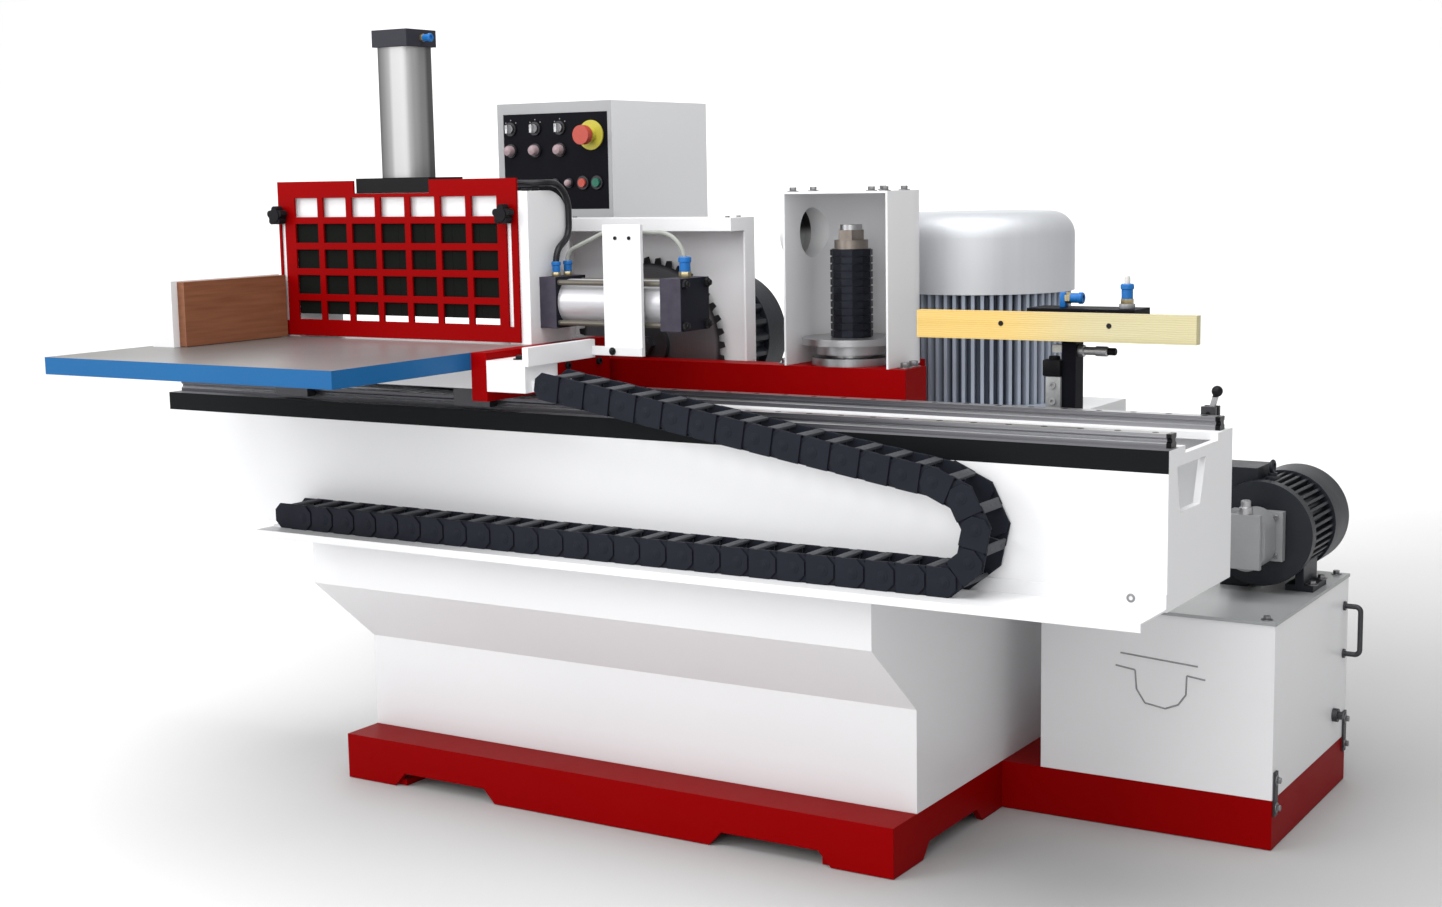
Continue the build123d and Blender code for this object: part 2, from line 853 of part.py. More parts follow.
def side_cylinder():
    """Tie-rod cylinder: two square caps, round barrel, four tie rods."""
    half = side_cap / 2
    x0 = gate_right
    x1 = x0 + side_front_cap
    x2 = x1 + side_barrel_length
    x3 = x2 + side_rear_cap
    front = block(x0, x1, side_y - half, side_y + half, side_z - half, side_z + half)
    rear = block(x2, x3, side_y - half, side_y + half, side_z - half, side_z + half)
    body = front + rear + rod_x(x1, x2, side_y, side_z, side_barrel / 2)
    off = half - tie_rod_inset
    for sy in (-1, 1):
        for sz in (-1, 1):
            body += rod_x(x1 - 7, x2 + 4, side_y + sy * off, side_z + sz * off, tie_rod / 2)
    return body - rod_x(x0 - 1, x0 + side_bore_reach, side_y, side_z, side_rod / 2 + slide_clearance)


def side_ram():
    """Piston rod with the pusher on its end."""
    x1 = gate_right - pusher_gap
    wide = pusher_width / 2
    body = rod_x(x1 - 10, gate_right + side_rod_reach, side_y, side_z, side_rod / 2)
    return body + block(x1 - pusher_thickness, x1, side_y - wide, side_y + wide, table_top + 12, side_z + 22)


# Cutter stand


def rear_stand():
    """Folded stand behind the bed with a bay for the saw blade, open underneath."""
    left = stand_left
    right = stand_right
    rear = stand_rear
    front = hood_front + foot_setback
    bay = saw_y + saw_bay_depth
    bay_left = saw_hood_left
    bay_right = saw_x + saw_radius + saw_bay_room
    outline = [(left, front), (bay_left, front), (bay_left, bay), (bay_right, bay), (bay_right, front)]
    outline += [(right, front), (right, rear), (left, rear)]
    body = plan(outline, bed_bottom, stand_top)
    w = sheet_wall
    hollow = [(left + w, bay + w), (bay_right + w, bay + w), (bay_right + w, front + w)]
    hollow += [(right - w, front + w), (right - w, rear - w), (left + w, rear - w)]
    cover = stand_top - stand_cover
    body -= plan(hollow, bed_bottom - 1, cover)
    body -= rod_z(spindle_x, spindle_y, cover - 1, stand_top + 1, housing_radius + 1)
    return body - rod_z(motor_x, motor_y, cover - 1, stand_top + 1, motor_shaft + 41)


def platform():
    """Beam in front of the cutters, widened into a deck round the spindle."""
    y0 = hood_front
    y1 = y0 + beam_depth
    z0 = platform_bottom
    z1 = platform_top
    left = stand_left + foot_setback
    foot = y0 + foot_setback
    tail = platform_right - foot_width - foot_setback
    body = block(left, platform_right, y0, y1, z0, z1)
    body += block(deck_left, deck_right, y0, deck_rear, z0, z1)
    body += block(deck_right - 1, platform_right, y0, platform_tail_rear, z0, z1)
    body += block(left, left + foot_width, foot, y1, stand_top, z0)
    body += block(tail, platform_right, foot, platform_tail_rear, stand_top, z0)
    body += block(deck_left, deck_left + foot_width, foot, deck_rear, stand_top, z0)
    return body - rod_z(spindle_x, spindle_y, z0 - 1, z1 + 1, housing_radius + bore_clearance)


def saw_hood():
    """Shallow sheet hood, open towards the workpieces, with a lipped top and a short right wall."""
    x0 = saw_hood_left
    x1 = saw_hood_right
    y0 = hood_front
    y1 = saw_hood_rear
    z0 = platform_top
    z1 = saw_hood_top
    z2 = z1 - saw_hood_lip
    s = hood_sheet
    body = block(x0, x1, y0, y1, z1 - s, z1) + block(x0, x1, y0, y0 + s, z2, z1)
    body += block(x1 - s, x1, y0, y1, z2, z1) + block(x1 - s, x1, y1 - saw_wall_depth, y1, z0, z1)
    body += block(x0, x0 + s, y0, y1, z0, z1) + block(x0, x1, y1 - s, y1, stand_top, z1)
    body += block(x0, x1, y1 - s, y1 + saw_hood_foot, stand_top, stand_top + s)
    return body - rod_y(saw_x, y1 - s - 1, y1 + 1, saw_z, saw_hood_hole)


def saw_motor():
    """Finned motor on a foot, shaft end carried in its front cover."""
    y0 = saw_y + saw_motor_gap
    fins = []
    turn = 180 / saw_motor_fins
    for index in range(2 * saw_motor_fins):
        radius = saw_motor_radius if index % 2 == 0 else saw_motor_radius - saw_fin_depth
        for offset in (-1.9, 1.9):
            fins.append(on_circle(saw_x, saw_z, radius, index * turn + offset))
    body = profile_y(fins, y0 + 30, y0 + 200)
    body += rod_y(saw_x, y0, y0 + 30, saw_z, saw_motor_radius - 3)
    body += rod_y(saw_x, y0 + 200, y0 + 268, saw_z, saw_motor_radius + 1)
    body += block(saw_x - 100, saw_x + 100, y0 + 50, y0 + 180, stand_top, saw_z - 70)
    return body - rod_y(saw_x, y0 - 1, y0 + saw_shaft_reach + 2, saw_z, saw_shaft + slide_clearance)


def saw_arbor():
    """Shaft with the fixed collar behind the blade, the loose collar and nut before it."""
    half = saw_thickness / 2
    reach = saw_collar_reach
    front = saw_y - reach - saw_nut_height
    body = rod_y(saw_x, front, saw_y + saw_motor_gap + saw_shaft_reach, saw_z, saw_shaft)
    body += rod_y(saw_x, saw_y + half, saw_y + reach, saw_z, saw_collar)
    body += rod_y(saw_x, saw_y + reach, saw_y + reach + 12, saw_z, 24)
    body += rod_y(saw_x, saw_y - reach, saw_y - half, saw_z, saw_loose_collar)
    nut = extrude(RegularPolygon(saw_nut, 6), saw_nut_height)
    return body + Pos(saw_x, saw_y - reach + 1, saw_z) * Rot(90, 0, 0) * nut


def saw_blade():
    """Toothed blade: each tooth is a raked point with a gullet before it."""
    points = []
    tooth = [(0.0, 0.0), (3.4, 3.0), (3.9, 13.0), (7.6, 13.0)]
    for index in range(saw_teeth):
        for offset, depth in tooth:
            points.append(on_circle(saw_x, saw_z, saw_radius - depth, 360 / saw_teeth * index + offset))
    half = saw_thickness / 2
    plate = profile_y(points, saw_y - half, saw_y + half)
    return plate - rod_y(saw_x, saw_y - half - 1, saw_y + half + 1, saw_z, saw_shaft + fit)


def spindle_hood():
    """Bent sheet hood round the spindle: straight sides, half-round back, flat top and a dust port."""
    outer = spindle_hood_radius
    x = spindle_hood_left + outer
    y = spindle_hood_bend
    z0 = platform_top
    z1 = spindle_hood_top
    s = hood_sheet

    def bent(radius, low, high):
        back = rod_z(x, y, low, high, radius) - block(x - radius, x + radius, y - radius, y, low, high)
        return back + block(x - radius, x + radius, hood_front, y, low, high)

    port = spindle_hood_left - duct_length
    body = bent(outer, z0, z1) + rod_x(port, x, y, duct_z, duct_radius + duct_wall)
    inside = bent(outer - s, z0 - 1, z1 - s)
    inside += block(x - outer + s, x + outer - s, hood_front - 1, hood_front + 1, z0 - 1, z1 - s)
    return body - inside - rod_x(port - 1, x, y, duct_z, duct_radius)


def spindle_housing():
    """Bearing housing through the deck, with a collar on top."""
    low = stand_top - housing_drop
    high = platform_top + housing_collar
    body = rod_z(spindle_x, spindle_y, low, platform_top, housing_radius)
    body += rod_z(spindle_x, spindle_y, platform_top, high, housing_radius + 12)
    return body - rod_z(spindle_x, spindle_y, low - 1, high + 1, spindle_bearing + slide_clearance)


def spindle_shaft():
    """Shaft with its clamping disc above the bearing and its pulley below."""
    low = stand_top - housing_drop
    high = platform_top + housing_collar
    disc = cutter_low - flange_thickness
    top = cutter_low + cutter_step * cutters + nut_collar + nut_height + 10
    body = rod_z(spindle_x, spindle_y, low, high, spindle_bearing)
    body += rod_z(spindle_x, spindle_y, shaft_low, low, spindle_tail)
    body += rod_z(spindle_x, spindle_y, high, top, spindle_nose)
    body += rod_z(spindle_x, spindle_y, high + 6, disc, flange_neck)
    body += rod_z(spindle_x, spindle_y, high, high + 6, spindle_bearing)
    body += rod_z(spindle_x, spindle_y, disc, cutter_low, flange_radius)
    low = belt_low - pulley_rim
    high = belt_low + belt_width + pulley_rim
    return body + rod_z(spindle_x, spindle_y, low, high, spindle_pulley_radius)


def cutter_stack():
    """Stack of cutter bodies on the spindle with the clamping nut above them."""
    top = cutter_low + cutter_step * cutters
    body = rod_z(spindle_x, spindle_y, cutter_low, top, cutter_radius - 3)
    for index in range(cutters):
        z = cutter_low + cutter_step * index + 1.5
        body += Pos(spindle_x, spindle_y, z) * extrude(RegularPolygon(cutter_radius, 12), cutter_step - 3)
    nut = rod_z(spindle_x, spindle_y, top, top + nut_collar, 31)
    nut += Pos(spindle_x, spindle_y, top + nut_collar) * extrude(RegularPolygon(26, 6), nut_height)
    bore = rod_z(spindle_x, spindle_y, cutter_low - 1, top + nut_collar + nut_height + 6, spindle_nose + fit)
    return Compound(children=[body - bore, nut - bore])


def motor_rotor():
    """Motor shaft with the larger belt pulley on its lower end."""
    body = rod_z(motor_x, motor_y, shaft_low, stand_top + motor_shaft_reach, motor_shaft)
    low = belt_low - pulley_rim
    high = belt_low + belt_width + pulley_rim
    return body + rod_z(motor_x, motor_y, low, high, motor_pulley_radius)


def belt():
    """Flat loop round both pulleys, built from its two outer tangents."""
    dx = motor_x - spindle_x
    dy = motor_y - spindle_y
    span = math.hypot(dx, dy)
    turn = math.degrees(math.atan2(dy, dx))

    def loop(grow):
        small = spindle_pulley_radius + grow
        large = motor_pulley_radius + grow
        lean = math.asin((large - small) / span)
        flank = []
        for x, r, side in ((0, small, 1), (span, large, 1), (span, large, -1), (0, small, -1)):
            flank.append((x - r * math.sin(lean), side * r * math.cos(lean)))
        solid = plan(flank, belt_low, belt_low + belt_width)
        solid += rod_z(0, 0, belt_low, belt_low + belt_width, small)
        return solid + rod_z(span, 0, belt_low, belt_low + belt_width, large)

    band = loop(belt_thickness + belt_clearance) - loop(belt_clearance)
    return Pos(spindle_x, spindle_y, 0) * Rot(0, 0, turn) * band


def main_motor():
    """Upright motor: mounting flange and a ring of vertical cooling fins."""
    points = []
    for index in range(motor_fins):
        for offset, depth in ((-1.1, 0), (1.1, 0), (1.7, motor_fin_depth), (4.3, motor_fin_depth)):
            turn = index * 360 / motor_fins + offset
            points.append(on_circle(motor_x, motor_y, motor_radius - depth, turn))
    body = plan(points, stand_top + motor_flange_height - 2, cowl_bottom)
    body += rod_z(motor_x, motor_y, stand_top, stand_top + motor_flange_height, motor_radius + motor_flange)
    bore = stand_top + motor_shaft_reach + 2
    return body - rod_z(motor_x, motor_y, stand_top - 1, bore, motor_shaft + slide_clearance)


def motor_cowl():
    """Fan cowl with a rounded top that slips over the fins."""
    low = cowl_bottom - cowl_skirt
    shell = rod_z(motor_x, motor_y, low, cowl_top, motor_radius + cowl_wall)
    shell = fillet(shell.edges().sort_by(Axis.Z)[-1], cowl_corner)
    return shell - rod_z(motor_x, motor_y, low - 1, cowl_bottom + fan_space, motor_radius + bore_clearance)


# Cabinet and its controls


def cabinet():
    """Sheet cabinet, open below, with the cut-out for its panel."""
    x0 = cabinet_left
    x1 = cabinet_right
    y0 = cabinet_front
    y1 = cabinet_rear
    w = cabinet_wall
    body = block(x0, x1, y0, y1, bed_bottom, cabinet_top)
    body -= block(x0 + w, x1 - w, y0 + w, y1 - w, bed_bottom - 1, cabinet_top - w)
    return body - block(panel_left, panel_right, y0 - 1, y0 + w + 1, panel_low, panel_high)


def panel():
    """Control panel set flush in the cabinet front, drilled for every control."""
    y0 = cabinet_front + flush_gap
    body = block(panel_left, panel_right, y0, y0 + panel_thickness, panel_low, panel_high)
    for x, z in button_places + selector_places + [stop_place]:
        body -= rod_y(x, y0 - 1, y0 + 10, z, button_hole / 2 + bore_clearance)
    return body


def panel_fittings():
    """Collars of the selectors and buttons, and the signal lamps."""
    y1 = cabinet_front + flush_gap
    y0 = y1 - collar_height
    pieces = []
    for x, z in button_places + selector_places:
        ring = rod_y(x, y0, y1, z, collar_radius) + rod_y(x, y1, y1 + switch_depth, z, button_hole / 2)
        pieces.append(ring - rod_y(x, y0 - 1, y1 + switch_depth + 2, z, cap_radius + button_clearance))
    for x, z in lamp_places:
        pieces.append(rod_y(x, y0, y1, z, collar_radius) + rod_y(x, y0 - 9, y0, z, lamp_radius))
    for x, z in pilot_places:
        pieces.append(rod_y(x, y0, y1, z, pilot_radius + 3) + rod_y(x, y0 - 7, y0, z, pilot_radius))
    return Compound(children=pieces)


def button(x, z):
    y1 = cabinet_front + flush_gap
    return rod_y(x, y1 - 9, y1 + 14, z, cap_radius)


def selector(x, z):
    y1 = cabinet_front + flush_gap
    body = rod_y(x, y1 - 8, y1 + 16, z, cap_radius)
    grip = cap_radius - 0.5
    return body + block(x - 3, x + 3, y1 - 18, y1 - 7, z - grip, z + grip)


def stop_ring():
    """Disc and collar behind the emergency stop."""
    x, z = stop_place
    y1 = cabinet_front + flush_gap
    ring = rod_y(x, y1 - 3, y1, z, stop_disc) + rod_y(x, y1 - 14, y1 - 3, z, 15)
    ring += rod_y(x, y1, y1 + switch_depth, z, button_hole / 2)
    return ring - rod_y(x, y1 - 16, y1 + switch_depth + 2, z, cap_radius + button_clearance)


def stop_button():
    x, z = stop_place
    y1 = cabinet_front + flush_gap
    return rod_y(x, y1 - 40, y1 - 24, z, stop_cap) + rod_y(x, y1 - 26, y1 + 14, z, cap_radius)


# Tank and pump


def tank():
    """Open sheet box, closed by the lid."""
    s = tank_wall
    body = block(tank_left, tank_right, tank_front, tank_rear, plinth_height, tank_top - lid_thickness)
    inside = block(tank_left + s, tank_right - s, tank_front + s, tank_rear - s, plinth_height + s, tank_top)
    return body - inside


def tank_lid():
    g = lid_overhang
    low = tank_top - lid_thickness
    return block(tank_left - g, tank_right + g, tank_front - g, tank_rear + g, low, tank_top)


def tank_fittings():
    """Carrying handle, two clamping straps and the drain plug on the right side."""
    x = tank_right
    x1 = x + handle_reach
    y = tank_rear - handle_inset
    low = plinth_height + handle_lift
    high = low + handle_span
    handle = tube([(x, y, low), (x1, y, low), (x1, y, high), (x, y, high)], 5, 10)
    handle += rod_x(x, x + 4, y, low, 9)
    handle += rod_x(x, x + 4, y, high, 9)
    pieces = [handle]
    for y in (tank_front + strap_inset, tank_rear - strap_inset):
        pieces.append(block(x, x + 4, y - 9, y + 9, plinth_height - strap_drop, plinth_height + strap_rise))
    y = tank_rear - plug_inset
    z = plinth_height + plug_lift
    plug = Pos(x + 10, y, z) * Rot(0, 90, 0) * extrude(RegularPolygon(8, 6), 9)
    pieces.append(rod_x(x, x + 10, y, z, 13) + plug)
    return Compound(children=pieces)


def pump_motor():
    """Foot-mounted finned motor lying along Y on the tank lid."""
    points = []
    for index in range(40):
        for offset, depth in ((-1.6, 2), (1.6, 2), (2.6, 14), (6.4, 14)):
            points.append(on_circle(pump_x, pump_z, pump_motor_radius - depth, index * 9 + offset))
    y0 = pump_motor_front
    y1 = y0 + pump_motor_length
    body = profile_y(points, y0 + 22, y1 - 88)
    body += rod_y(pump_x, y0, y0 + 24, pump_z, pump_motor_radius + 2)
    body += rod_y(pump_x, y1 - 96, y1, pump_z, pump_motor_radius + 2)
    for side in (-1, 1):
        x = pump_x + side * 62
        body += block(x - 26, x + 26, y0 + 48, y0 + 138, tank_top, tank_top + 12)
        body += block(x - 8, x + 8, y0 + 48, y0 + 138, tank_top + 10, pump_z - 40)
    high = pump_z + pump_motor_radius
    return body + block(pump_x - 92, pump_x - 14, y0 + 26, y0 + 116, pump_z + 40, high + 22)


def pump():
    """Gear pump on the front flange of its motor with two ports."""
    y2 = pump_motor_front
    y1 = y2 - pump_flange
    y0 = y1 - pump_length
    body = block(pump_x - 48, pump_x + 48, y1, y2, pump_z - 46, pump_z + 46)
    body += rod_y(pump_x, y0, y1, pump_z + 18, 36) + rod_y(pump_x, y0, y1, pump_z - 20, 36)
    body += block(pump_x - 36, pump_x + 36, y0, y1, pump_z - 20, pump_z + 18)
    body += rod_x(pump_x - 62, pump_x - 30, y1 - 32, pump_z + 10, 18)
    return body + block(pump_x - 30, pump_x + 30, y0 - pump_cover, y0, pump_z - 50, pump_z + 50)


# End-aligning board on the right


def board_unit():
    """Post behind the bed and the guided cylinder on top of it."""
    x0 = board_post_left
    x1 = board_post_right
    y1 = board_post_rear
    post = block(x0 - board_post_foot, x1, bed_rear, y1, board_post_low, bed_top + board_post_foot)
    post += block(x0, x1, board_post_front, y1, bed_top, guide_block_low)
    y0 = board_back + guide_block_gap
    y1 = y0 + guide_block_depth
    body = block(guide_block_left, guide_block_right, y0, y1, guide_block_low, guide_block_high)
    for x in guide_places:
        body -= rod_y(x, y0 - 1, y1 + 1, guide_z, guide_radius + slide_clearance)
    return Compound(children=[post, body])


def board_guides():
    """Two guide bars on a plate that carries the board."""
    x0 = guide_block_left + 2
    x1 = guide_block_right - 2
    body = block(x0, x1, board_back, board_back + guide_plate, guide_block_low, board_high - 2)
    for x in guide_places:
        body += rod_y(x, board_back + guide_plate - 1, board_back + guide_bar_length, guide_z, guide_radius)
    return body


def wood_board():
    return block(board_left, board_right, board_front, board_back, board_low, board_high)


def lever_base():
    """Foot with two cheeks for the lever's pin."""
    x = lever_x
    y = lever_y
    body = block(x - 18, x + 18, y - 14, y + 14, bed_top, bed_top + 8)
    for cheek in (y - 9, y + 9):
        body += block(x - 12, x + 12, cheek - 4, cheek + 4, bed_top + 7, bed_top + 34)
    return body - rod_y(x, y - 20, y + 20, lever_pin_z, lever_pin + slide_clearance)


def lever():
    """Leaning stop lever with a ball end, on its cross pin."""
    body = rod_y(lever_x, lever_y - 13, lever_y + 13, lever_pin_z, lever_pin)
    body += rod_y(lever_x, lever_y - 4.5, lever_y + 4.5, lever_pin_z, 9)
    lean = Pos(lever_x, lever_y, lever_pin_z) * Rot(0, 16, 0)
    body += lean * Pos(0, 0, 18) * Box(8, 8, 30)
    return body + lean * Pos(0, 0, 38) * Sphere(9)


# Air hoses of the clamps


def air_hoses():
    """Hoses from the side cylinder to the valve plate, and one from the press round the right gate plate."""
    cap = side_z + side_cap / 2
    left = gate_right + side_front_cap / 2 - 0.5
    right = gate_right + side_front_cap + side_barrel_length + side_rear_cap / 2 + 2
    first = post_right - 54
    second = post_right - 24
    high = cap + 80
    y = side_y + 18
    one = [(left, y, cap), (left, y, cap + 44), (left + 86, y, high)]
    one += [(first, y, high), (first, post_back, high)]
    two = [(right, side_y, cap), (right, side_y, high), (second, side_y, high), (second, post_back, high)]
    x = gate_right + hose_radius + flush_gap
    y = gate_rear - 9
    z = beam_top + press_flange_height / 2
    ahead = press_y - 25
    three = [(press_x + press_flange_half, ahead, z), (x, ahead, z), (x, y, z), (x, y, z - 98)]
    three += [(left, side_y - 18, cap + 46), (left, side_y - 18, cap)]
    pieces = [tube(one, thin_hose_radius, [24, 40, 40])]
    pieces.append(tube(two, thin_hose_radius, [54, 24]))
    pieces.append(tube(three, hose_radius, [36, 54, 34, 34]))
    return Compound(children=pieces)


nodes = {
    "plinth": plinth(),
    "pedestal": pedestal(),
    "bed": bed(),
    "guide_rails": guide_rails(),
    "chain_tray": chain_tray(),
    "chain_lower": chain_part(0, links_low),
    "chain_bend": chain_part(links_low, links_bend),
    "chain_upper": chain_part(links_low + links_bend, links_up),
    "runner_blocks": bearing_blocks(),
    "saddle": saddle(),
    "table": table(),
    "side_bar": side_bar(),
    "valve_post": valve_post(),
    "fence_bracket": fence_bracket(),
    "fence_board": fence_board(),
    "gate_left_plate": gate_plate_left(),
    "gate_right_plate": gate_plate_right(),
    "gate_beam": gate_beam(),
    "guard": guard(),
    "knob_left": star_knob(knob_left_x),
    "knob_right": star_knob(knob_right_x),
    "press_cylinder": press_cylinder(),
    "press_ram": press_ram(),
    "side_cylinder": side_cylinder(),
    "side_ram": side_ram(),
    "air_hoses": air_hoses(),
    "rear_stand": rear_stand(),
    "platform": platform(),
    "saw_hood": saw_hood(),
    "saw_motor": saw_motor(),
    "saw_arbor": saw_arbor(),
    "saw_blade": saw_blade(),
    "spindle_hood": spindle_hood(),
    "spindle_housing": spindle_housing(),
    "spindle_shaft": spindle_shaft(),
    "cutter_stack": cutter_stack(),
    "main_motor": main_motor(),
    "motor_cowl": motor_cowl(),
    "motor_rotor": motor_rotor(),
    "drive_belt": belt(),
    "cabinet": cabinet(),
    "control_panel": panel(),
    "panel_fittings": panel_fittings(),
    "stop_ring": stop_ring(),
    "stop_button": stop_button(),
    "button_red": button(*button_places[0]),
    "button_green": button(*button_places[1]),
    "tank": tank(),
    "tank_lid": tank_lid(),
    "tank_fittings": tank_fittings(),
    "pump_motor": pump_motor(),
    "gear_pump": pump(),
    "board_unit": board_unit(),
    "board_guides": board_guides(),
    "wood_board": wood_board(),
    "lever_base": lever_base(),
    "lever": lever(),
}
for index, place in enumerate(selector_places):
    nodes["selector_" + str(index + 1)] = selector(*place)
for name, shape in nodes.items():
    export_step(shape, "parts/" + name + ".step")
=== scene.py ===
import bpy
import bmesh
import math
from mathutils import Matrix, Vector


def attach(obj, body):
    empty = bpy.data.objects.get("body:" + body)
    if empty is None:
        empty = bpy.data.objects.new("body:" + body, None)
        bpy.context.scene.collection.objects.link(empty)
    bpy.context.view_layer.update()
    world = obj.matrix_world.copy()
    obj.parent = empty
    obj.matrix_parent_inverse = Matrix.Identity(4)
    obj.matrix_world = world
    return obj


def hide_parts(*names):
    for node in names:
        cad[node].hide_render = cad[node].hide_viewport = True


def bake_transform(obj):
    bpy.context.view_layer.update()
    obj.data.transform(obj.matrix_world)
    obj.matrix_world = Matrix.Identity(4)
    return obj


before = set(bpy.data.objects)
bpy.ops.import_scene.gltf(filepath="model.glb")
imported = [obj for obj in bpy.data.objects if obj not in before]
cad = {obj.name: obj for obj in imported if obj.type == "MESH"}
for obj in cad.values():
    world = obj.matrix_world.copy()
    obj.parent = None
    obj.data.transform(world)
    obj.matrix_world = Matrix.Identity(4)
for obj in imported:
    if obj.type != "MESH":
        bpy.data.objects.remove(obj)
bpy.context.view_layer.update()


# Places read from the frame, in metres


class Span:
    """Bounding box of one node, with its middle."""

    def __init__(self, name):
        part = cad[name]
        corners = [part.matrix_world @ Vector(corner) for corner in part.bound_box]
        self.left, self.front, self.bottom = [min(corner[axis] for corner in corners) for axis in range(3)]
        self.right, self.rear, self.top = [max(corner[axis] for corner in corners) for axis in range(3)]
        self.x = (self.left + self.right) / 2
        self.y = (self.front + self.rear) / 2
        self.z = (self.bottom + self.top) / 2


bed = Span("bed")
rails = Span("guide_rails")
tray = Span("chain_tray")
chain = Span("chain_lower")
table = Span("table")
side_bar = Span("side_bar")
post = Span("valve_post")
fence = Span("fence_bracket")
gate_left = Span("gate_left_plate")
gate_right = Span("gate_right_plate")
gate_beam = Span("gate_beam")
guard = Span("guard")
press = Span("press_cylinder")
clamp = Span("side_cylinder")
platform = Span("platform")
saw_hood = Span("saw_hood")
blade = Span("saw_blade")
spindle_hood = Span("spindle_hood")
cutter = Span("cutter_stack")
main_motor = Span("main_motor")
panel = Span("control_panel")
lamps = Span("panel_fittings")
selectors = [Span(f"selector_{index}") for index in (1, 2, 3)]
red_button = Span("button_red")
tank = Span("tank")
tank_lid = Span("tank_lid")
gear_pump = Span("gear_pump")
pump_motor = Span("pump_motor")
board = Span("wood_board")
board_unit = Span("board_unit")
lever = Span("lever")

TO_TOP = (0, 0, 1)
TO_RIGHT = (1, 0, 0)
TO_LEFT = (-1, 0, 0)
TO_FRONT = (0, -1, 0)
TO_REAR = (0, 1, 0)

# How deep a small piece sits in its seat
SINK = 0.0002

# Axis heights of the dust stub and the pump motor
STUB_Z = spindle_hood.top - 0.076
PUMP_AXIS_Z = tank_lid.top + 0.112

# Post under the board unit, and the port on top of the unit
UNIT_POST_LEFT = board_unit.left + 0.063
UNIT_POST_RIGHT = UNIT_POST_LEFT + 0.025
UNIT_POST_REAR = board_unit.rear - 0.035
UNIT_PORT = (board_unit.right - 0.028, UNIT_POST_REAR)


# Shader sums


class Wire:
    """A node output that takes part in plain sums."""

    def __init__(self, paint, socket):
        self.paint = paint
        self.socket = socket

    def sum(self, operation, first, second):
        return self.paint.node("ShaderNodeMath", {"operation": operation}, {0: first, 1: second})

    def __add__(self, other):
        return self.sum("ADD", self, other)

    def __radd__(self, other):
        return self.sum("ADD", other, self)

    def __sub__(self, other):
        return self.sum("SUBTRACT", self, other)

    def __rsub__(self, other):
        return self.sum("SUBTRACT", other, self)

    def __mul__(self, other):
        return self.sum("MULTIPLY", self, other)

    def __rmul__(self, other):
        return self.sum("MULTIPLY", other, self)

    def __gt__(self, other):
        return self.sum("GREATER_THAN", self, other)

    def __lt__(self, other):
        return self.sum("LESS_THAN", self, other)

    def __pow__(self, other):
        return self.sum("POWER", self, other)


class Paint:
    """One material and the nodes in it."""

    def __init__(self, name):
        self.material = bpy.data.materials.new(name)
        self.material.use_nodes = True
        self.tree = self.material.node_tree
        self.shader = self.tree.nodes["Principled BSDF"]
        self.place = self.node("ShaderNodeTexCoord", output="Object")
        self.x, self.y, self.z = self.split(self.place)

    def feed(self, socket, value):
        if isinstance(value, Wire):
            self.tree.links.new(value.socket, socket)
        else:
            socket.default_value = value

    def node(self, kind, settings=None, inputs=None, output=0, whole=False):
        made = self.tree.nodes.new(kind)
        for key, value in (settings or {}).items():
            if key == "stops":
                ramp = made.color_ramp.elements
                ramp[0].position, ramp[1].position = value[0][0], value[-1][0]
                for spot, _ in value[1:-1]:
                    ramp.new(spot)
                for element, (_, tone) in zip(ramp, value):
                    element.color = (tone, tone, tone, 1.0)
            else:
                setattr(made, key, value)
        for key, value in (inputs or {}).items():
            self.feed(made.inputs[key], value)
        return made if whole else Wire(self, made.outputs[output])

    def split(self, vector):
        made = self.node("ShaderNodeSeparateXYZ", {}, {0: vector}, whole=True)
        return [Wire(self, made.outputs[index]) for index in range(3)]

    def facing(self):
        """The surface direction, split in X, Y and Z."""
        return self.split(self.node("ShaderNodeNewGeometry", output="True Normal"))

    def reach(self, first, second):
        """Distance from an axis, out of two offsets."""
        return (first * first + second * second) ** 0.5

    def stretched(self, scale):
        return self.node("ShaderNodeMapping", {}, {"Vector": self.place, "Scale": scale})

    def noise(self, scale, detail=3.0, vector=None):
        inputs = {"Vector": vector or self.place, "Scale": scale, "Detail": detail}
        return self.node("ShaderNodeTexNoise", {}, inputs)

    def ramp(self, share, stops):
        """Grey tones along a share from nought to one."""
        return self.node("ShaderNodeValToRGB", {"stops": stops}, {0: share})

    def blend(self, share, first, second):
        """Colour mix."""
        made = self.node("ShaderNodeMix", {"data_type": "RGBA"}, {0: share}, whole=True)
        self.feed(made.inputs[6], first)
        self.feed(made.inputs[7], second)
        return Wire(self, made.outputs[2])

    def between(self, value, low, high):
        """One inside the band, nought outside."""
        return (value > low) * (value < high)

    def soften(self, value, low, high):
        """Smooth rise from nought at low to one at high."""
        inputs = {"Value": value, "From Min": low, "From Max": high, "To Min": 0.0, "To Max": 1.0}
        return self.node("ShaderNodeMapRange", {"interpolation_type": "SMOOTHSTEP"}, inputs)

    def finish(self, colour, rough, metal=0.0, height=None, depth=0.0002, edge=0.0015, gloss=0.3):
        """Connects what was worked out to the shader, with eased edges in the normal."""
        self.feed(self.shader.inputs["Base Color"], colour)
        self.feed(self.shader.inputs["Roughness"], rough)
        self.feed(self.shader.inputs["Metallic"], metal)
        self.feed(self.shader.inputs["Specular IOR Level"], gloss)
        normal = None
        if edge:
            normal = self.node("ShaderNodeBevel", {"samples": 4}, {"Radius": edge})
        if height is not None:
            inputs = {"Height": height, "Strength": 1.0, "Distance": depth}
            if normal:
                inputs["Normal"] = normal
            normal = self.node("ShaderNodeBump", {}, inputs)
        if normal:
            self.feed(self.shader.inputs["Normal"], normal)
        return self.material


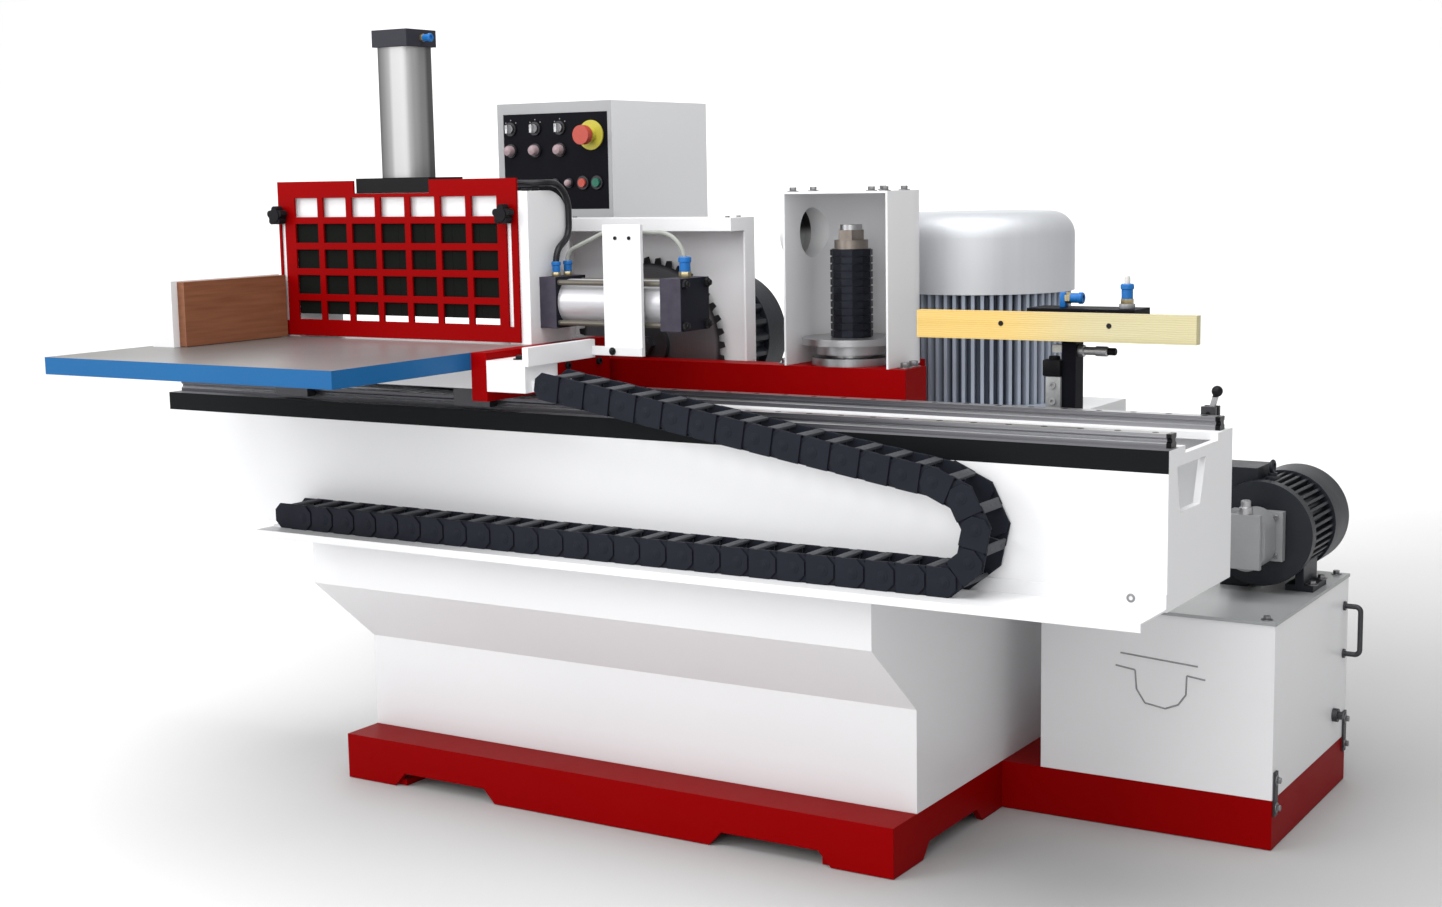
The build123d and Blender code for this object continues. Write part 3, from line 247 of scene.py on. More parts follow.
def rgb(red, green, blue):
    return (red, green, blue, 1.0)


# Finishes

WHITE = rgb(0.80, 0.80, 0.81)
WHITE_SHADE = rgb(0.74, 0.745, 0.76)
RED = rgb(0.265, 0.0004, 0.001)
RED_SHADE = rgb(0.235, 0.0003, 0.0008)
BLACK = rgb(0.007, 0.008, 0.009)
PEEL_GRAIN = 420.0
PEEL_DEPTH = 0.00006


def enamel(name, colour, shade, rough=0.3, gloss=0.3, edge=0.0016):
    """Sprayed enamel: faint clouds, orange peel and slightly uneven gloss."""
    p = Paint(name)
    tone = p.blend(p.noise(2.2, 4.0), shade, colour)
    peel = p.noise(PEEL_GRAIN, 2.0)
    return p.finish(tone, rough + 0.1 * p.noise(9.0), 0.0, peel, PEEL_DEPTH, edge, gloss)


def bed_enamel():
    """White enamel with a black band along the upper front edge and a grey seat under the front rail."""
    band_height = 0.035
    seat_depth = 0.045
    slack = 0.005
    p = Paint("bed_enamel")
    _, along, up = p.facing()
    band = (p.z > bed.top - band_height) * (along < -0.5) * (p.y < bed.front + slack)
    seat = (up > 0.5) * (p.z > bed.top - slack) * (p.y < bed.front + seat_depth)
    sheet = p.blend(p.noise(2.2, 4.0), WHITE_SHADE, WHITE)
    tone = p.blend(band, p.blend(seat, sheet, rgb(0.13, 0.13, 0.14)), BLACK)
    return p.finish(tone, 0.34 + 0.1 * p.noise(9.0), 0.0, p.noise(PEEL_GRAIN, 2.0), PEEL_DEPTH, gloss=0.06)


def table_finish():
    """Ground top with a painted reflection that darkens it towards the left, with blue enamelled edges and a
    dark underside.
    """
    reflection_dark_to = table.left - 0.133
    reflection_light_from = table.right - 0.123
    slack = 0.0005
    p = Paint("table_finish")
    up = p.facing()[2]
    top = (up > 0.5) * (p.z > table.top - slack)
    lines = p.noise(1.0, 5.0, p.stretched((6.0, 900.0, 1.0)))
    clouds = p.noise(3.5, 5.0)
    # Painted reflection: the ground top is made darker towards the left and lighter towards the right.
    dark_reflection = p.blend(clouds, rgb(0.13, 0.122, 0.115), rgb(0.22, 0.212, 0.205))
    light_reflection = p.blend(clouds, rgb(0.28, 0.277, 0.275), rgb(0.42, 0.42, 0.42))
    ground_top = p.blend(p.soften(p.x, reflection_dark_to, reflection_light_from), dark_reflection, light_reflection)
    blue = p.blend(p.noise(5.0), rgb(0.006, 0.088, 0.245), rgb(0.007, 0.112, 0.295))
    sides = p.blend(up < -0.5, blue, rgb(0.12, 0.12, 0.125))
    rough = top * (0.24 + 0.2 * lines) + (1 - top) * 0.36
    return p.finish(p.blend(top, sides, ground_top), rough, top * 0.6, lines * top, 0.00002, 0.002, 0.2)


def ground(name, colour, shade, stretch, rough=0.25, metal=1.0, edge=0.0008):
    """Ground or drawn metal with fine lines along one way."""
    p = Paint(name)
    lines = p.noise(1.0, 4.0, p.stretched(stretch))
    tone = p.blend(p.noise(6.0, 4.0) * 0.6 + lines * 0.4, shade, colour)
    return p.finish(tone, rough + 0.2 * lines, metal, lines, 0.00003, edge)


def moulded(name, colour, shade, rough=0.45):
    """Moulded plastic or rubber with a fine grain."""
    p = Paint(name)
    tone = p.blend(p.noise(14.0), shade, colour)
    return p.finish(tone, rough + 0.12 * p.noise(30.0), 0.0, p.noise(700.0, 2.0), 0.00008, 0.001, 0.07)


def cast(name, colour, shade, rough=0.42):
    """Painted casting."""
    p = Paint(name)
    tone = p.blend(p.noise(7.0, 5.0), shade, colour)
    return p.finish(tone, rough + 0.14 * p.noise(20.0), 0.15, p.noise(160.0, 4.0), 0.0004, 0.002)


def knurl(name, colour, rough=0.3, metal=0.0):
    """Small bright or coloured fitting."""
    p = Paint(name)
    speck = p.noise(260.0, 3.0)
    shade = rgb(*[channel * 0.72 for channel in colour[:3]])
    return p.finish(p.blend(speck, shade, colour), rough + 0.15 * speck, metal, speck, 0.00003, 0.0004)


def pine():
    """Planed softwood: long grain along X, darker growth lines, paler right end."""
    warm_to = board.left + 0.131
    pale_from = board.right - 0.134
    p = Paint("pine_grain")
    wave = p.noise(1.0, 3.0, p.stretched((1.6, 30.0, 42.0)))
    bands = {"Vector": p.stretched((0.35, 1.0, 1.0)), "Scale": 85.0, "Distortion": 4.0, "Detail": 3.0}
    rings = p.node("ShaderNodeTexWave", {"wave_type": "BANDS", "bands_direction": "Z"}, bands, "Fac")
    warm = p.blend(wave, rgb(0.66, 0.42, 0.10), rgb(0.86, 0.64, 0.24))
    light = p.blend(wave, rgb(0.50, 0.45, 0.25), rgb(0.66, 0.62, 0.40))
    base = p.blend(p.soften(p.x, warm_to, pale_from), warm, light)
    tone = p.blend((rings ** 3) * 0.22, base, rgb(0.44, 0.24, 0.07))
    return p.finish(tone, 0.5 + 0.2 * wave, 0.0, rings * 0.5 + wave, 0.00025, 0.001)


def brown_panel():
    """Oiled hardboard with a fine fibre."""
    p = Paint("brown_panel")
    fibre = p.noise(1.0, 6.0, p.stretched((60.0, 9.0, 160.0)))
    tone = p.blend(fibre, rgb(0.15, 0.052, 0.024), rgb(0.30, 0.122, 0.060))
    return p.finish(tone, 0.42 + 0.2 * fibre, 0.0, fibre, 0.0002, 0.001)


def press_barrel_finish():
    """Drawn aluminium barrel with painted highlights and painted shade in bands across its front and flanks,
    black flange and charcoal cap.
    """
    flange = 0.0285
    cap = 0.0325
    half = 0.040
    # Painted light: grey bands across the barrel's front and flanks stand for its highlights and shade.
    front_painted_light_tones = [(0.0, 0.20), (0.10, 0.10), (0.26, 0.18), (0.42, 0.28), (0.52, 0.46),
                   (0.88, 0.50), (1.0, 0.32)]
    flank_painted_light_tones = [(0.0, 0.40), (0.28, 0.34), (0.45, 0.24), (0.62, 0.22), (0.72, 0.09),
                   (0.86, 0.09), (1.0, 0.34)]
    p = Paint("press_barrel_finish")
    across = p.facing()[0]
    lines = p.noise(1.0, 4.0, p.stretched((900.0, 900.0, 4.0)))
    barrel = p.between(p.z, press.bottom + flange, press.top - cap)
    front = p.ramp((p.x - (press.x - half)) * (0.5 / half), front_painted_light_tones)
    flank = p.ramp((p.y - (press.y - half)) * (0.5 / half), flank_painted_light_tones)
    light = p.blend(across * across > 0.5, front, flank)
    dark = p.blend(p.z > press.z, rgb(0.006, 0.006, 0.007), rgb(0.032, 0.032, 0.041))
    rough = barrel * (0.42 + 0.16 * lines) + (1 - barrel) * 0.46
    return p.finish(p.blend(barrel, dark, light), rough, barrel * 0.15, lines * barrel, 0.00003, 0.002, 0.1)


def side_barrel_finish():
    """Drawn aluminium barrel and dark tie rods between slate-grey cast caps, whose end faces are painted near
    black as shade.
    """
    left_cap = 0.0372
    right_cap = 0.0442
    rod_off = 0.031
    p = Paint("side_barrel_finish")
    across = p.facing()[0]
    lines = p.noise(1.0, 4.0, p.stretched((5.0, 700.0, 700.0)))
    barrel = p.between(p.x, clamp.left + left_cap, clamp.right - right_cap)
    slate = p.blend(p.noise(60.0, 4.0), rgb(0.036, 0.033, 0.047), rgb(0.066, 0.060, 0.083))
    # Painted shade: the caps' end faces are made near black.
    cap = p.blend(across * across > 0.5, slate, rgb(0.011, 0.012, 0.018))
    light = p.blend(lines, rgb(0.44, 0.44, 0.46), rgb(0.56, 0.56, 0.58))
    off_y = p.y - clamp.y
    off_z = p.z - clamp.z
    tie_rod = (off_y * off_y > rod_off ** 2) * (off_z * off_z > rod_off ** 2)
    light = p.blend(tie_rod, light, rgb(0.13, 0.12, 0.10))
    rough = barrel * (0.26 + 0.12 * lines) + (1 - barrel) * 0.5
    height = lines * barrel * 0.2 + (1 - barrel) * p.noise(240.0, 3.0)
    return p.finish(p.blend(barrel, cap, light), rough, barrel * 0.35, height, 0.0002, 0.0018, 0.1)


def cabinet_enamel():
    """White enamelled sheet with a greyer door frame."""
    p = Paint("cabinet_enamel")
    along = p.facing()[1]
    cloud = p.noise(2.2, 4.0)
    sheet = p.blend(cloud, rgb(0.74, 0.745, 0.76), rgb(0.79, 0.795, 0.81))
    door = p.blend(cloud, rgb(0.31, 0.315, 0.325), rgb(0.37, 0.375, 0.385))
    tone = p.blend(along < -0.5, sheet, door)
    return p.finish(tone, 0.36 + 0.1 * p.noise(9.0), 0.0, p.noise(PEEL_GRAIN, 2.0), PEEL_DEPTH)


def motor_finish():
    """Blue-grey ribs, with painted shade making the gaps between them dark."""
    rib_foot = 0.146
    rib_top = 0.166
    p = Paint("motor_finish")
    reach = p.reach(p.x - main_motor.x, p.y - main_motor.y)
    rib = p.blend(p.noise(7.0, 5.0), rgb(0.30, 0.34, 0.41), rgb(0.40, 0.44, 0.52))
    # Painted shade: dark blue below the rib foot, in the gaps between the ribs.
    tone = p.blend(p.soften(reach, rib_foot, rib_top), rgb(0.06, 0.075, 0.11), rib)
    return p.finish(tone, 0.4 + 0.14 * p.noise(20.0), 0.2, p.noise(160.0, 4.0), 0.0003, 0.0012)


def hose_finish():
    """Pale air hoses of the side cylinder, black press hose."""
    pale_from = gate_right.right + 0.026
    pale_behind = clamp.y + 0.008
    pale_under = clamp.top + 0.0555
    p = Paint("hose_finish")
    right_side = p.x > pale_from
    rear_port = (p.y > pale_behind) * (p.z < pale_under)
    pale = right_side + rear_port - right_side * rear_port
    cloud = p.noise(30.0)
    light = p.blend(cloud, rgb(0.27, 0.28, 0.255), rgb(0.37, 0.385, 0.355))
    dark = p.blend(cloud, rgb(0.007, 0.007, 0.009), rgb(0.013, 0.013, 0.016))
    return p.finish(p.blend(pale, dark, light), 0.3 + 0.12 * cloud, 0.0, p.noise(300.0, 2.0), 0.00005, 0)


def plug_finish():
    """Painted shade in the mouth of the dust stub, with painted light lower down where light falls in from
    the hood.
    """
    lit_to = STUB_Z - 0.010
    dark_from = STUB_Z + 0.012
    p = Paint("plug_finish")
    lit = p.blend(p.noise(30.0), rgb(0.36, 0.37, 0.36), rgb(0.44, 0.45, 0.44))
    # Painted light: pale below the stub's axis, painted shade above it.
    tone = p.blend(p.soften(p.z, lit_to, dark_from), lit, rgb(0.012, 0.013, 0.012))
    return p.finish(tone, 0.6, 0.0, p.noise(300.0), 0.0001, 0)


def lever_finish():
    """Black ball and foot on a bright stem."""
    foot = 0.016
    ball = 0.0185
    p = Paint("lever_finish")
    stem = p.between(p.z, lever.bottom + foot, lever.top - ball)
    speck = p.noise(260.0, 3.0)
    bright = p.blend(speck, rgb(0.36, 0.36, 0.37), rgb(0.52, 0.52, 0.53))
    tone = p.blend(stem, rgb(0.008, 0.008, 0.01), bright)
    return p.finish(tone, 0.32 + 0.12 * speck, stem * 0.7, speck, 0.00003, 0.0004, 0.15)


def selector_finish():
    """Black switch body with a bright grip."""
    body = 0.006
    p = Paint("selector_finish")
    grip = p.y < panel.front - body
    speck = p.noise(260.0, 3.0)
    bright = p.blend(speck, rgb(0.34, 0.34, 0.35), rgb(0.50, 0.50, 0.52))
    tone = p.blend(grip, rgb(0.012, 0.012, 0.014), bright)
    return p.finish(tone, 0.28 + 0.15 * speck, grip * 0.5, speck, 0.00003, 0.0004)


def blade_finish():
    """Ground saw plate: circular grinding lines, darker teeth."""
    plate_radius = 0.150
    tooth_radius = 0.160
    p = Paint("blade_finish")
    reach = p.reach(p.x - blade.x, p.z - blade.z)
    rings = {"W": reach * 900.0, "Scale": 1.0, "Detail": 3.0}
    lines = p.node("ShaderNodeTexNoise", {"noise_dimensions": "1D"}, rings)
    plate = p.blend(lines, rgb(0.10, 0.10, 0.105), rgb(0.26, 0.26, 0.27))
    tone = p.blend(p.soften(reach, plate_radius, tooth_radius), plate, rgb(0.035, 0.035, 0.038))
    return p.finish(tone, 0.3 + 0.2 * lines, 0.85, lines, 0.00003, 0.0004)


def rail_finish():
    """Ground guide rail: top painted bright as a highlight, sides painted dark as shade that is deepest
    towards the left, dark end.
    """
    side_shade_deep_to = rails.right - 0.762
    side_shade_light_from = rails.right - 0.032
    end = 0.008
    p = Paint("rail_finish")
    up = p.facing()[2]
    lines = p.noise(1.0, 4.0, p.stretched((4.0, 800.0, 800.0)))
    # Painted light: a bright highlight on the top faces, and painted shade on the sides, deepest towards the
    # left and lighter towards the right.
    bright = p.blend(lines, rgb(0.34, 0.345, 0.36), rgb(0.60, 0.605, 0.62))
    deep_side_shade = p.blend(lines, rgb(0.05, 0.05, 0.058), rgb(0.16, 0.16, 0.175))
    light_side_shade = p.blend(lines, rgb(0.20, 0.20, 0.215), rgb(0.42, 0.42, 0.44))
    side = p.blend(p.soften(p.x, side_shade_deep_to, side_shade_light_from), deep_side_shade, light_side_shade)
    tone = p.blend(p.x > rails.right - end, p.blend(up > 0.7, side, bright), rgb(0.012, 0.012, 0.014))
    return p.finish(tone, 0.22 + 0.2 * lines, 0.8, lines, 0.00003, 0.0006)


def cutter_finish():
    """Blued cutter pack, bright where the nut clamps it."""
    nut_height = 0.0342
    p = Paint("cutter_finish")
    stain = p.noise(45.0, 4.0)
    black = p.blend(stain, rgb(0.008, 0.009, 0.013), rgb(0.03, 0.032, 0.042))
    brass = p.blend(stain, rgb(0.16, 0.135, 0.115), rgb(0.34, 0.30, 0.27))
    tone = p.blend(p.z > cutter.top - nut_height, black, brass)
    return p.finish(tone, 0.3 + 0.2 * stain, 0.85, stain, 0.00005, 0.0008)


white = enamel("white_enamel", WHITE, WHITE_SHADE)
red = enamel("red_enamel", RED, RED_SHADE, 0.38, 0.03)
lid_grey = enamel("lid_grey", rgb(0.36, 0.37, 0.375), rgb(0.29, 0.30, 0.305))
black_enamel = enamel("black_enamel", rgb(0.006, 0.0065, 0.010), rgb(0.004, 0.004, 0.006), 0.46, 0.05)
chain_black = moulded("chain_black", rgb(0.017, 0.019, 0.027), rgb(0.011, 0.012, 0.018), 0.46)
bar_grey = moulded("bar_grey", rgb(0.085, 0.088, 0.096), rgb(0.060, 0.062, 0.069), 0.5)
# Near-black sheet for the strips behind the guard, which stand in for shade.
shade_curtain_black = moulded("shade_curtain_black", rgb(0.007, 0.008, 0.007), rgb(0.004, 0.005, 0.004), 0.7)
knob_black = moulded("knob_black", rgb(0.012, 0.012, 0.014), rgb(0.006, 0.006, 0.007), 0.34)
belt_black = moulded("belt_black", rgb(0.014, 0.014, 0.014), rgb(0.008, 0.008, 0.008), 0.7)
steel = ground("turned_steel", rgb(0.56, 0.56, 0.57), rgb(0.34, 0.34, 0.35), (120.0, 120.0, 700.0))
rod_steel = ground("rod_steel", rgb(0.66, 0.66, 0.68), rgb(0.48, 0.48, 0.50), (200.0, 200.0, 200.0), 0.12)
oiled_steel = ground("oiled_steel", rgb(0.10, 0.10, 0.108), rgb(0.045, 0.045, 0.05), (300.0, 300.0, 300.0),
                     0.35, 0.85)
cowl_silver = ground("cowl_silver", rgb(0.66, 0.675, 0.70), rgb(0.54, 0.555, 0.58), (90.0, 90.0, 6.0),
                     0.42, 0.5)
motor_dark = cast("motor_dark", rgb(0.018, 0.021, 0.028), rgb(0.009, 0.011, 0.015), 0.36)
pump_alloy = cast("pump_alloy", rgb(0.36, 0.365, 0.37), rgb(0.22, 0.225, 0.23), 0.4)
screw_steel = knurl("screw_steel", rgb(0.30, 0.30, 0.31), 0.32, 0.95)
screw_black = knurl("screw_black", rgb(0.02, 0.02, 0.022), 0.38, 0.6)
collar_dark = knurl("collar_dark", rgb(0.035, 0.035, 0.04), 0.3, 0.5)
pin_steel = knurl("pin_steel", rgb(0.55, 0.55, 0.56), 0.24, 0.8)
fitting_blue = knurl("fitting_blue", rgb(0.012, 0.16, 0.50), 0.28)
fitting_brass = knurl("fitting_brass", rgb(0.52, 0.44, 0.26), 0.28, 0.9)
disc_yellow = knurl("disc_yellow", rgb(0.56, 0.50, 0.06), 0.4)
cap_red = knurl("cap_red", rgb(0.50, 0.070, 0.046), 0.3)
cap_green = knurl("cap_green", rgb(0.010, 0.14, 0.085), 0.3)
lens_pale = knurl("lens_pale", rgb(0.38, 0.28, 0.30), 0.14)
mark_white = knurl("mark_white", rgb(0.30, 0.30, 0.30), 0.5)
pale_plastic = knurl("pale_plastic", rgb(0.62, 0.62, 0.60), 0.45)
valve_grey = knurl("valve_grey", rgb(0.36, 0.365, 0.37), 0.36, 0.3)
# Grey for the pressed lines on the white tank, as painted shade.
crease_shade_grey = knurl("crease_shade_grey", rgb(0.30, 0.30, 0.31), 0.5)

dress = {
    white: ["pedestal", "chain_tray", "saddle", "valve_post", "fence_bracket", "gate_left_plate",
            "gate_right_plate", "gate_beam", "rear_stand", "saw_hood", "spindle_hood", "tank"],
    cabinet_enamel(): ["cabinet"],
    lid_grey: ["tank_lid"],
    red: ["plinth", "side_bar", "guard", "platform"],
    black_enamel: ["control_panel", "board_unit"],
    bed_enamel(): ["bed"],
    table_finish(): ["table"],
    rail_finish(): ["guide_rails"],
    oiled_steel: ["runner_blocks", "saw_arbor", "tank_fittings", "lever_base"],
    chain_black: ["chain_lower", "chain_bend", "chain_upper"],
    knob_black: ["knob_left", "knob_right"],
    lever_finish(): ["lever"],
    selector_finish(): ["selector_1", "selector_2", "selector_3"],
    brown_panel(): ["fence_board"],
    pine(): ["wood_board"],
    press_barrel_finish(): ["press_cylinder"],
    side_barrel_finish(): ["side_cylinder"],
    rod_steel: ["press_ram", "side_ram", "board_guides"],
    steel: ["spindle_housing", "spindle_shaft", "motor_rotor"],
    cutter_finish(): ["cutter_stack"],
    blade_finish(): ["saw_blade"],
    motor_finish(): ["main_motor"],
    cowl_silver: ["motor_cowl"],
    motor_dark: ["saw_motor", "pump_motor"],
    pump_alloy: ["gear_pump"],
    belt_black: ["drive_belt"],
    hose_finish(): ["air_hoses"],
    collar_dark: ["panel_fittings"],
    disc_yellow: ["stop_ring"],
    cap_red: ["stop_button", "button_red"],
    cap_green: ["button_green"],
}
for finish, names in dress.items():
    for name in names:
        part = cad[name]
        part.data.materials.clear()
        part.data.materials.append(finish)


# Shapes for the pieces modelled here


def settle(bm, name, body, finish, angle=35.0, second=None):
    """Turns a finished bmesh into a piece that moves with a body."""
    bmesh.ops.recalc_face_normals(bm, faces=bm.faces)
    mesh = bpy.data.meshes.new(name)
    bm.to_mesh(mesh)
    bm.free()
    mesh.materials.append(finish)
    if second:
        mesh.materials.append(second)
    mesh.polygons.foreach_set("use_smooth", [True] * len(mesh.polygons))
    mesh.set_sharp_from_angle(angle=math.radians(angle))
    made = bpy.data.objects.new(name, mesh)
    bpy.context.scene.collection.objects.link(made)
    if body:
        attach(made, body)
    return made


def turn_to(way):
    return Vector(way).to_track_quat("Z", "Y").to_matrix().to_4x4()


def ease(bm, edges, size, segments=2):
    bmesh.ops.bevel(bm, geom=edges, offset=size, offset_type="OFFSET", segments=segments, profile=0.5,
                    affect="EDGES", material=-1)


def add_box(bm, low, high, size=0.001):
    """Block between two corners, with eased edges."""
    low = Vector(low)
    high = Vector(high)
    span = Matrix.Diagonal((*(high - low), 1.0))
    made = bmesh.ops.create_cube(bm, size=1.0, matrix=Matrix.Translation((low + high) / 2) @ span)
    if size:
        ease(bm, list({edge for vert in made["verts"] for edge in vert.link_edges}), size)


def add_rod(bm, start, way, length, radius, sides=24, size=0.0006):
    """Round or many-sided bar from a point along a direction, with eased rims."""
    way = Vector(way).normalized()
    spot = Matrix.Translation(Vector(start) + way * length / 2) @ turn_to(way)
    made = bmesh.ops.create_cone(bm, cap_ends=True, segments=sides, radius1=radius, radius2=radius,
                                 depth=length, matrix=spot)
    caps = {face for vert in made["verts"] for face in vert.link_faces if len(face.verts) == sides}
    ease(bm, list({edge for face in caps for edge in face.edges}), size)


def add_turned(bm, start, way, profile, steps=32):
    """Spun shape: profile holds (distance along the way, radius) pairs. Points on the axis merge into one."""
    pole = 0.000005
    way = Vector(way).normalized()
    spot = Matrix.Translation(Vector(start)) @ turn_to(way)
    points = [bm.verts.new(spot @ Vector((max(radius, pole), 0.0, along))) for along, radius in profile]
    lines = [bm.edges.new(pair) for pair in zip(points, points[1:])]
    bmesh.ops.spin(bm, geom=points + lines, cent=start, axis=way, angle=math.tau, steps=steps, use_merge=True)
    bmesh.ops.remove_doubles(bm, verts=bm.verts, dist=0.00002)


def add_drawn(bm, points, move):
    """Outline drawn out along a straight way; gives all its corners."""
    face = bm.faces.new([bm.verts.new(point) for point in points])
    grown = bmesh.ops.extrude_face_region(bm, geom=[face])
    moved = [item for item in grown["geom"] if isinstance(item, bmesh.types.BMVert)]
    bmesh.ops.translate(bm, verts=moved, vec=move)
    return list(face.verts) + moved


def add_hex_bolt(bm, start, way, across, height):
    """Hexagon head on a washer."""
    washer = 0.0016
    add_rod(bm, start, way, washer, across * 0.95, 20, 0.0004)
    spot = Vector(start) + Vector(way).normalized() * washer
    add_rod(bm, spot, way, height, across * 0.577, 6, 0.0005)


def add_socket_screw(bm, start, way, radius, height):
    """Round head with a sunk key hole."""
    key = radius * 0.52
    sunk = height * 0.45
    head = [(0, 0), (0, radius), (height * 0.86, radius), (height, radius * 0.86), (height, key),
            (sunk, key * 0.96), (sunk, 0)]
    add_turned(bm, start, way, head, 18)


# Cable chain

PITCH = 0.054
BEND_RADIUS = 0.081
RISE = math.radians(171.0)
LINK_HALF = (chain.top - chain.bottom) / 2
LINK_END = LINK_HALF - 0.004
CHAIN_HALF = (chain.rear - chain.front) / 2
LAYER = 0.0035
BAR_HALF = 0.0085
BAR_HEIGHT = 0.005
LINKS_LOW = 26
LINKS_BEND = 4
LINKS_UP = 14


def add_plate(bm, outline, y0, y1):
    """Side plate from its outline, with eased rims."""
    verts = add_drawn(bm, [(x, y0, z) for x, z in outline], (0.0, y1 - y0, 0.0))
    edges = {edge for vert in verts for edge in vert.link_edges}
    ease(bm, [edge for edge in edges if abs(edge.verts[0].co.y - edge.verts[1].co.y) < 0.0001], 0.0007, 1)


def link_mesh():
    """One chain link: outer fork, inner tongue, snap-in cross bars and pivot studs."""
    bm = bmesh.new()
    h = LINK_HALF
    cut = 0.013
    lap = 0.004
    mid = PITCH / 2
    heel = -LINK_END
    tip = PITCH + LINK_END
    tongue = [(heel, cut - h), (heel + cut, -h), (mid + lap, -h), (mid + lap, h), (heel + cut, h),
              (heel, h - cut)]
    fork = [(mid - lap, -h), (tip - cut, -h), (tip, cut - h), (tip, h - cut), (tip - cut, h), (mid - lap, h)]
    for side in (-1, 1):
        outer = side * CHAIN_HALF
        inner = side * (CHAIN_HALF - LAYER)
        add_plate(bm, fork, inner, outer)
        add_plate(bm, tongue, side * (CHAIN_HALF - 2 * LAYER), inner)
        add_rod(bm, (PITCH, outer - side * 0.001, 0.0), (0, side, 0), 0.0016, 0.0095, 20, 0.0005)
        add_rod(bm, (PITCH, outer, 0.0), (0, side, 0), 0.0011, 0.0045, 14, 0.0003)
    reach = CHAIN_HALF - LAYER
    catch = 0.0025
    proud = 0.0002
    for z in (-h, h - BAR_HEIGHT):
        add_box(bm, (mid - BAR_HALF, -reach, z), (mid + BAR_HALF, reach, z + BAR_HEIGHT), 0.0012)
        for y in (-0.019, 0.0, 0.019):
            add_box(bm, (mid - catch, y - 0.004, z - proud),
                    (mid + catch, y + 0.004, z + BAR_HEIGHT + proud), 0.0004)
    slack = 0.0001
    for face in bm.faces:
        inside = max(abs(vert.co.y) for vert in face.verts) < reach + slack
        if inside and abs(face.calc_center_median().x - mid) < BAR_HALF + slack:
            face.material_index = 1
    bmesh.ops.recalc_face_normals(bm, faces=bm.faces)
    mesh = bpy.data.meshes.new("chain_link")
    bm.to_mesh(mesh)
    bm.free()
    return mesh


def link_places():
    """Pivot and heading of each link: flat run, bend, rising run."""
    x = chain.left + LINK_END
    z = chain.z
    heading = 0.0
    step = 2 * math.asin(PITCH / (2 * BEND_RADIUS))
    places = []
    for index in range(LINKS_LOW + LINKS_BEND + LINKS_UP):
        if index >= LINKS_LOW:
            heading = min(heading + step, RISE)
        places.append(Matrix.Translation((x, chain.y, z)) @ Matrix.Rotation(-heading, 4, "Y"))
        x += PITCH * math.cos(heading)
        z += PITCH * math.sin(heading)
    return places


def share_of_travel(made, share):
    """Solves for the point of the run that a share of the carriage travel reaches, which nothing uses, and
    bakes the link's placement into its mesh.
    """
    low, high = 0.0, 1.0
    for _ in range(40):
        middle = (low + high) / 2
        if middle * middle * (3 - 2 * middle) < share:
            low = middle
        else:
            high = middle
    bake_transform(made)


def cable_chain():
    pattern = link_mesh()
    bend = bmesh.new()
    for index, place in enumerate(link_places()):
        if LINKS_LOW <= index < LINKS_LOW + LINKS_BEND:
            copy = pattern.copy()
            copy.transform(place)
            bend.from_mesh(copy)
            continue
        bm = bmesh.new()
        bm.from_mesh(pattern)
        bmesh.ops.transform(bm, matrix=place, verts=bm.verts)
        made = settle(bm, f"chain_link_{index:02d}", None, chain_black, 30.0, bar_grey)
        if index < LINKS_LOW:
            share_of_travel(made, 0.5 * (index + 0.5) / LINKS_LOW)
            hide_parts("chain_lower")
        else:
            share_of_travel(made, 0.5 + 0.5 * (index - LINKS_LOW - LINKS_BEND) / (LINKS_UP - 1))
            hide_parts("chain_upper")
    made = settle(bend, "chain_bend_links", "chain_bend", chain_black, 30.0, bar_grey)
    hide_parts("chain_bend")


# Fasteners and small fittings


def rail_screws():
    """Caps in the screw holes of both rails."""
    pitch = 0.06
    inset = 0.0115
    first = rails.left + pitch / 2
    cap = [(0, 0), (0.00012, 0.0028), (0.00016, 0.0052), (0, 0.0056)]
    bm = bmesh.new()
    for y in (rails.front + inset, rails.rear - inset):
        for index in range(int((rails.right - first) / pitch) + 1):
            add_turned(bm, (first + pitch * index, y, rails.top), TO_TOP, cap, 14)
    settle(bm, "rail_screws", "machine", screw_black)


def hood_bolts():
    """Bolts on both hoods and the platform, and one screw at the right end of the tray."""
    bm = bmesh.new()
    near = spindle_hood.front + 0.016
    middle = spindle_hood.front + 0.092
    left = spindle_hood.left + 0.051
    right = spindle_hood.right - 0.013
    far = (spindle_hood.right - 0.107, spindle_hood.rear - 0.017)
    for x, y in ((left, near), (right - 0.027, near), (right, near), (left, middle), (right, middle), far):
        add_hex_bolt(bm, (x, y, spindle_hood.top), TO_TOP, 0.011, 0.0065)
    for x in (saw_hood.left + 0.022, saw_hood.right - 0.021):
        for y in (saw_hood.front + 0.022, saw_hood.front + 0.062):
            add_socket_screw(bm, (x, y, saw_hood.top), TO_TOP, 0.0045, 0.003)
    near = platform.front + 0.032
    right = platform.right - 0.017
    for x, y in ((right, near), (right, near + 0.035), (spindle_hood.left + 0.022, near)):
        add_hex_bolt(bm, (x, y, platform.top), TO_TOP, 0.014, 0.009)
    add_socket_screw(bm, (tray.right - 0.056, bed.front, bed.bottom + 0.018), TO_FRONT, 0.007, 0.004)
    settle(bm, "hood_bolts", "machine", screw_steel)


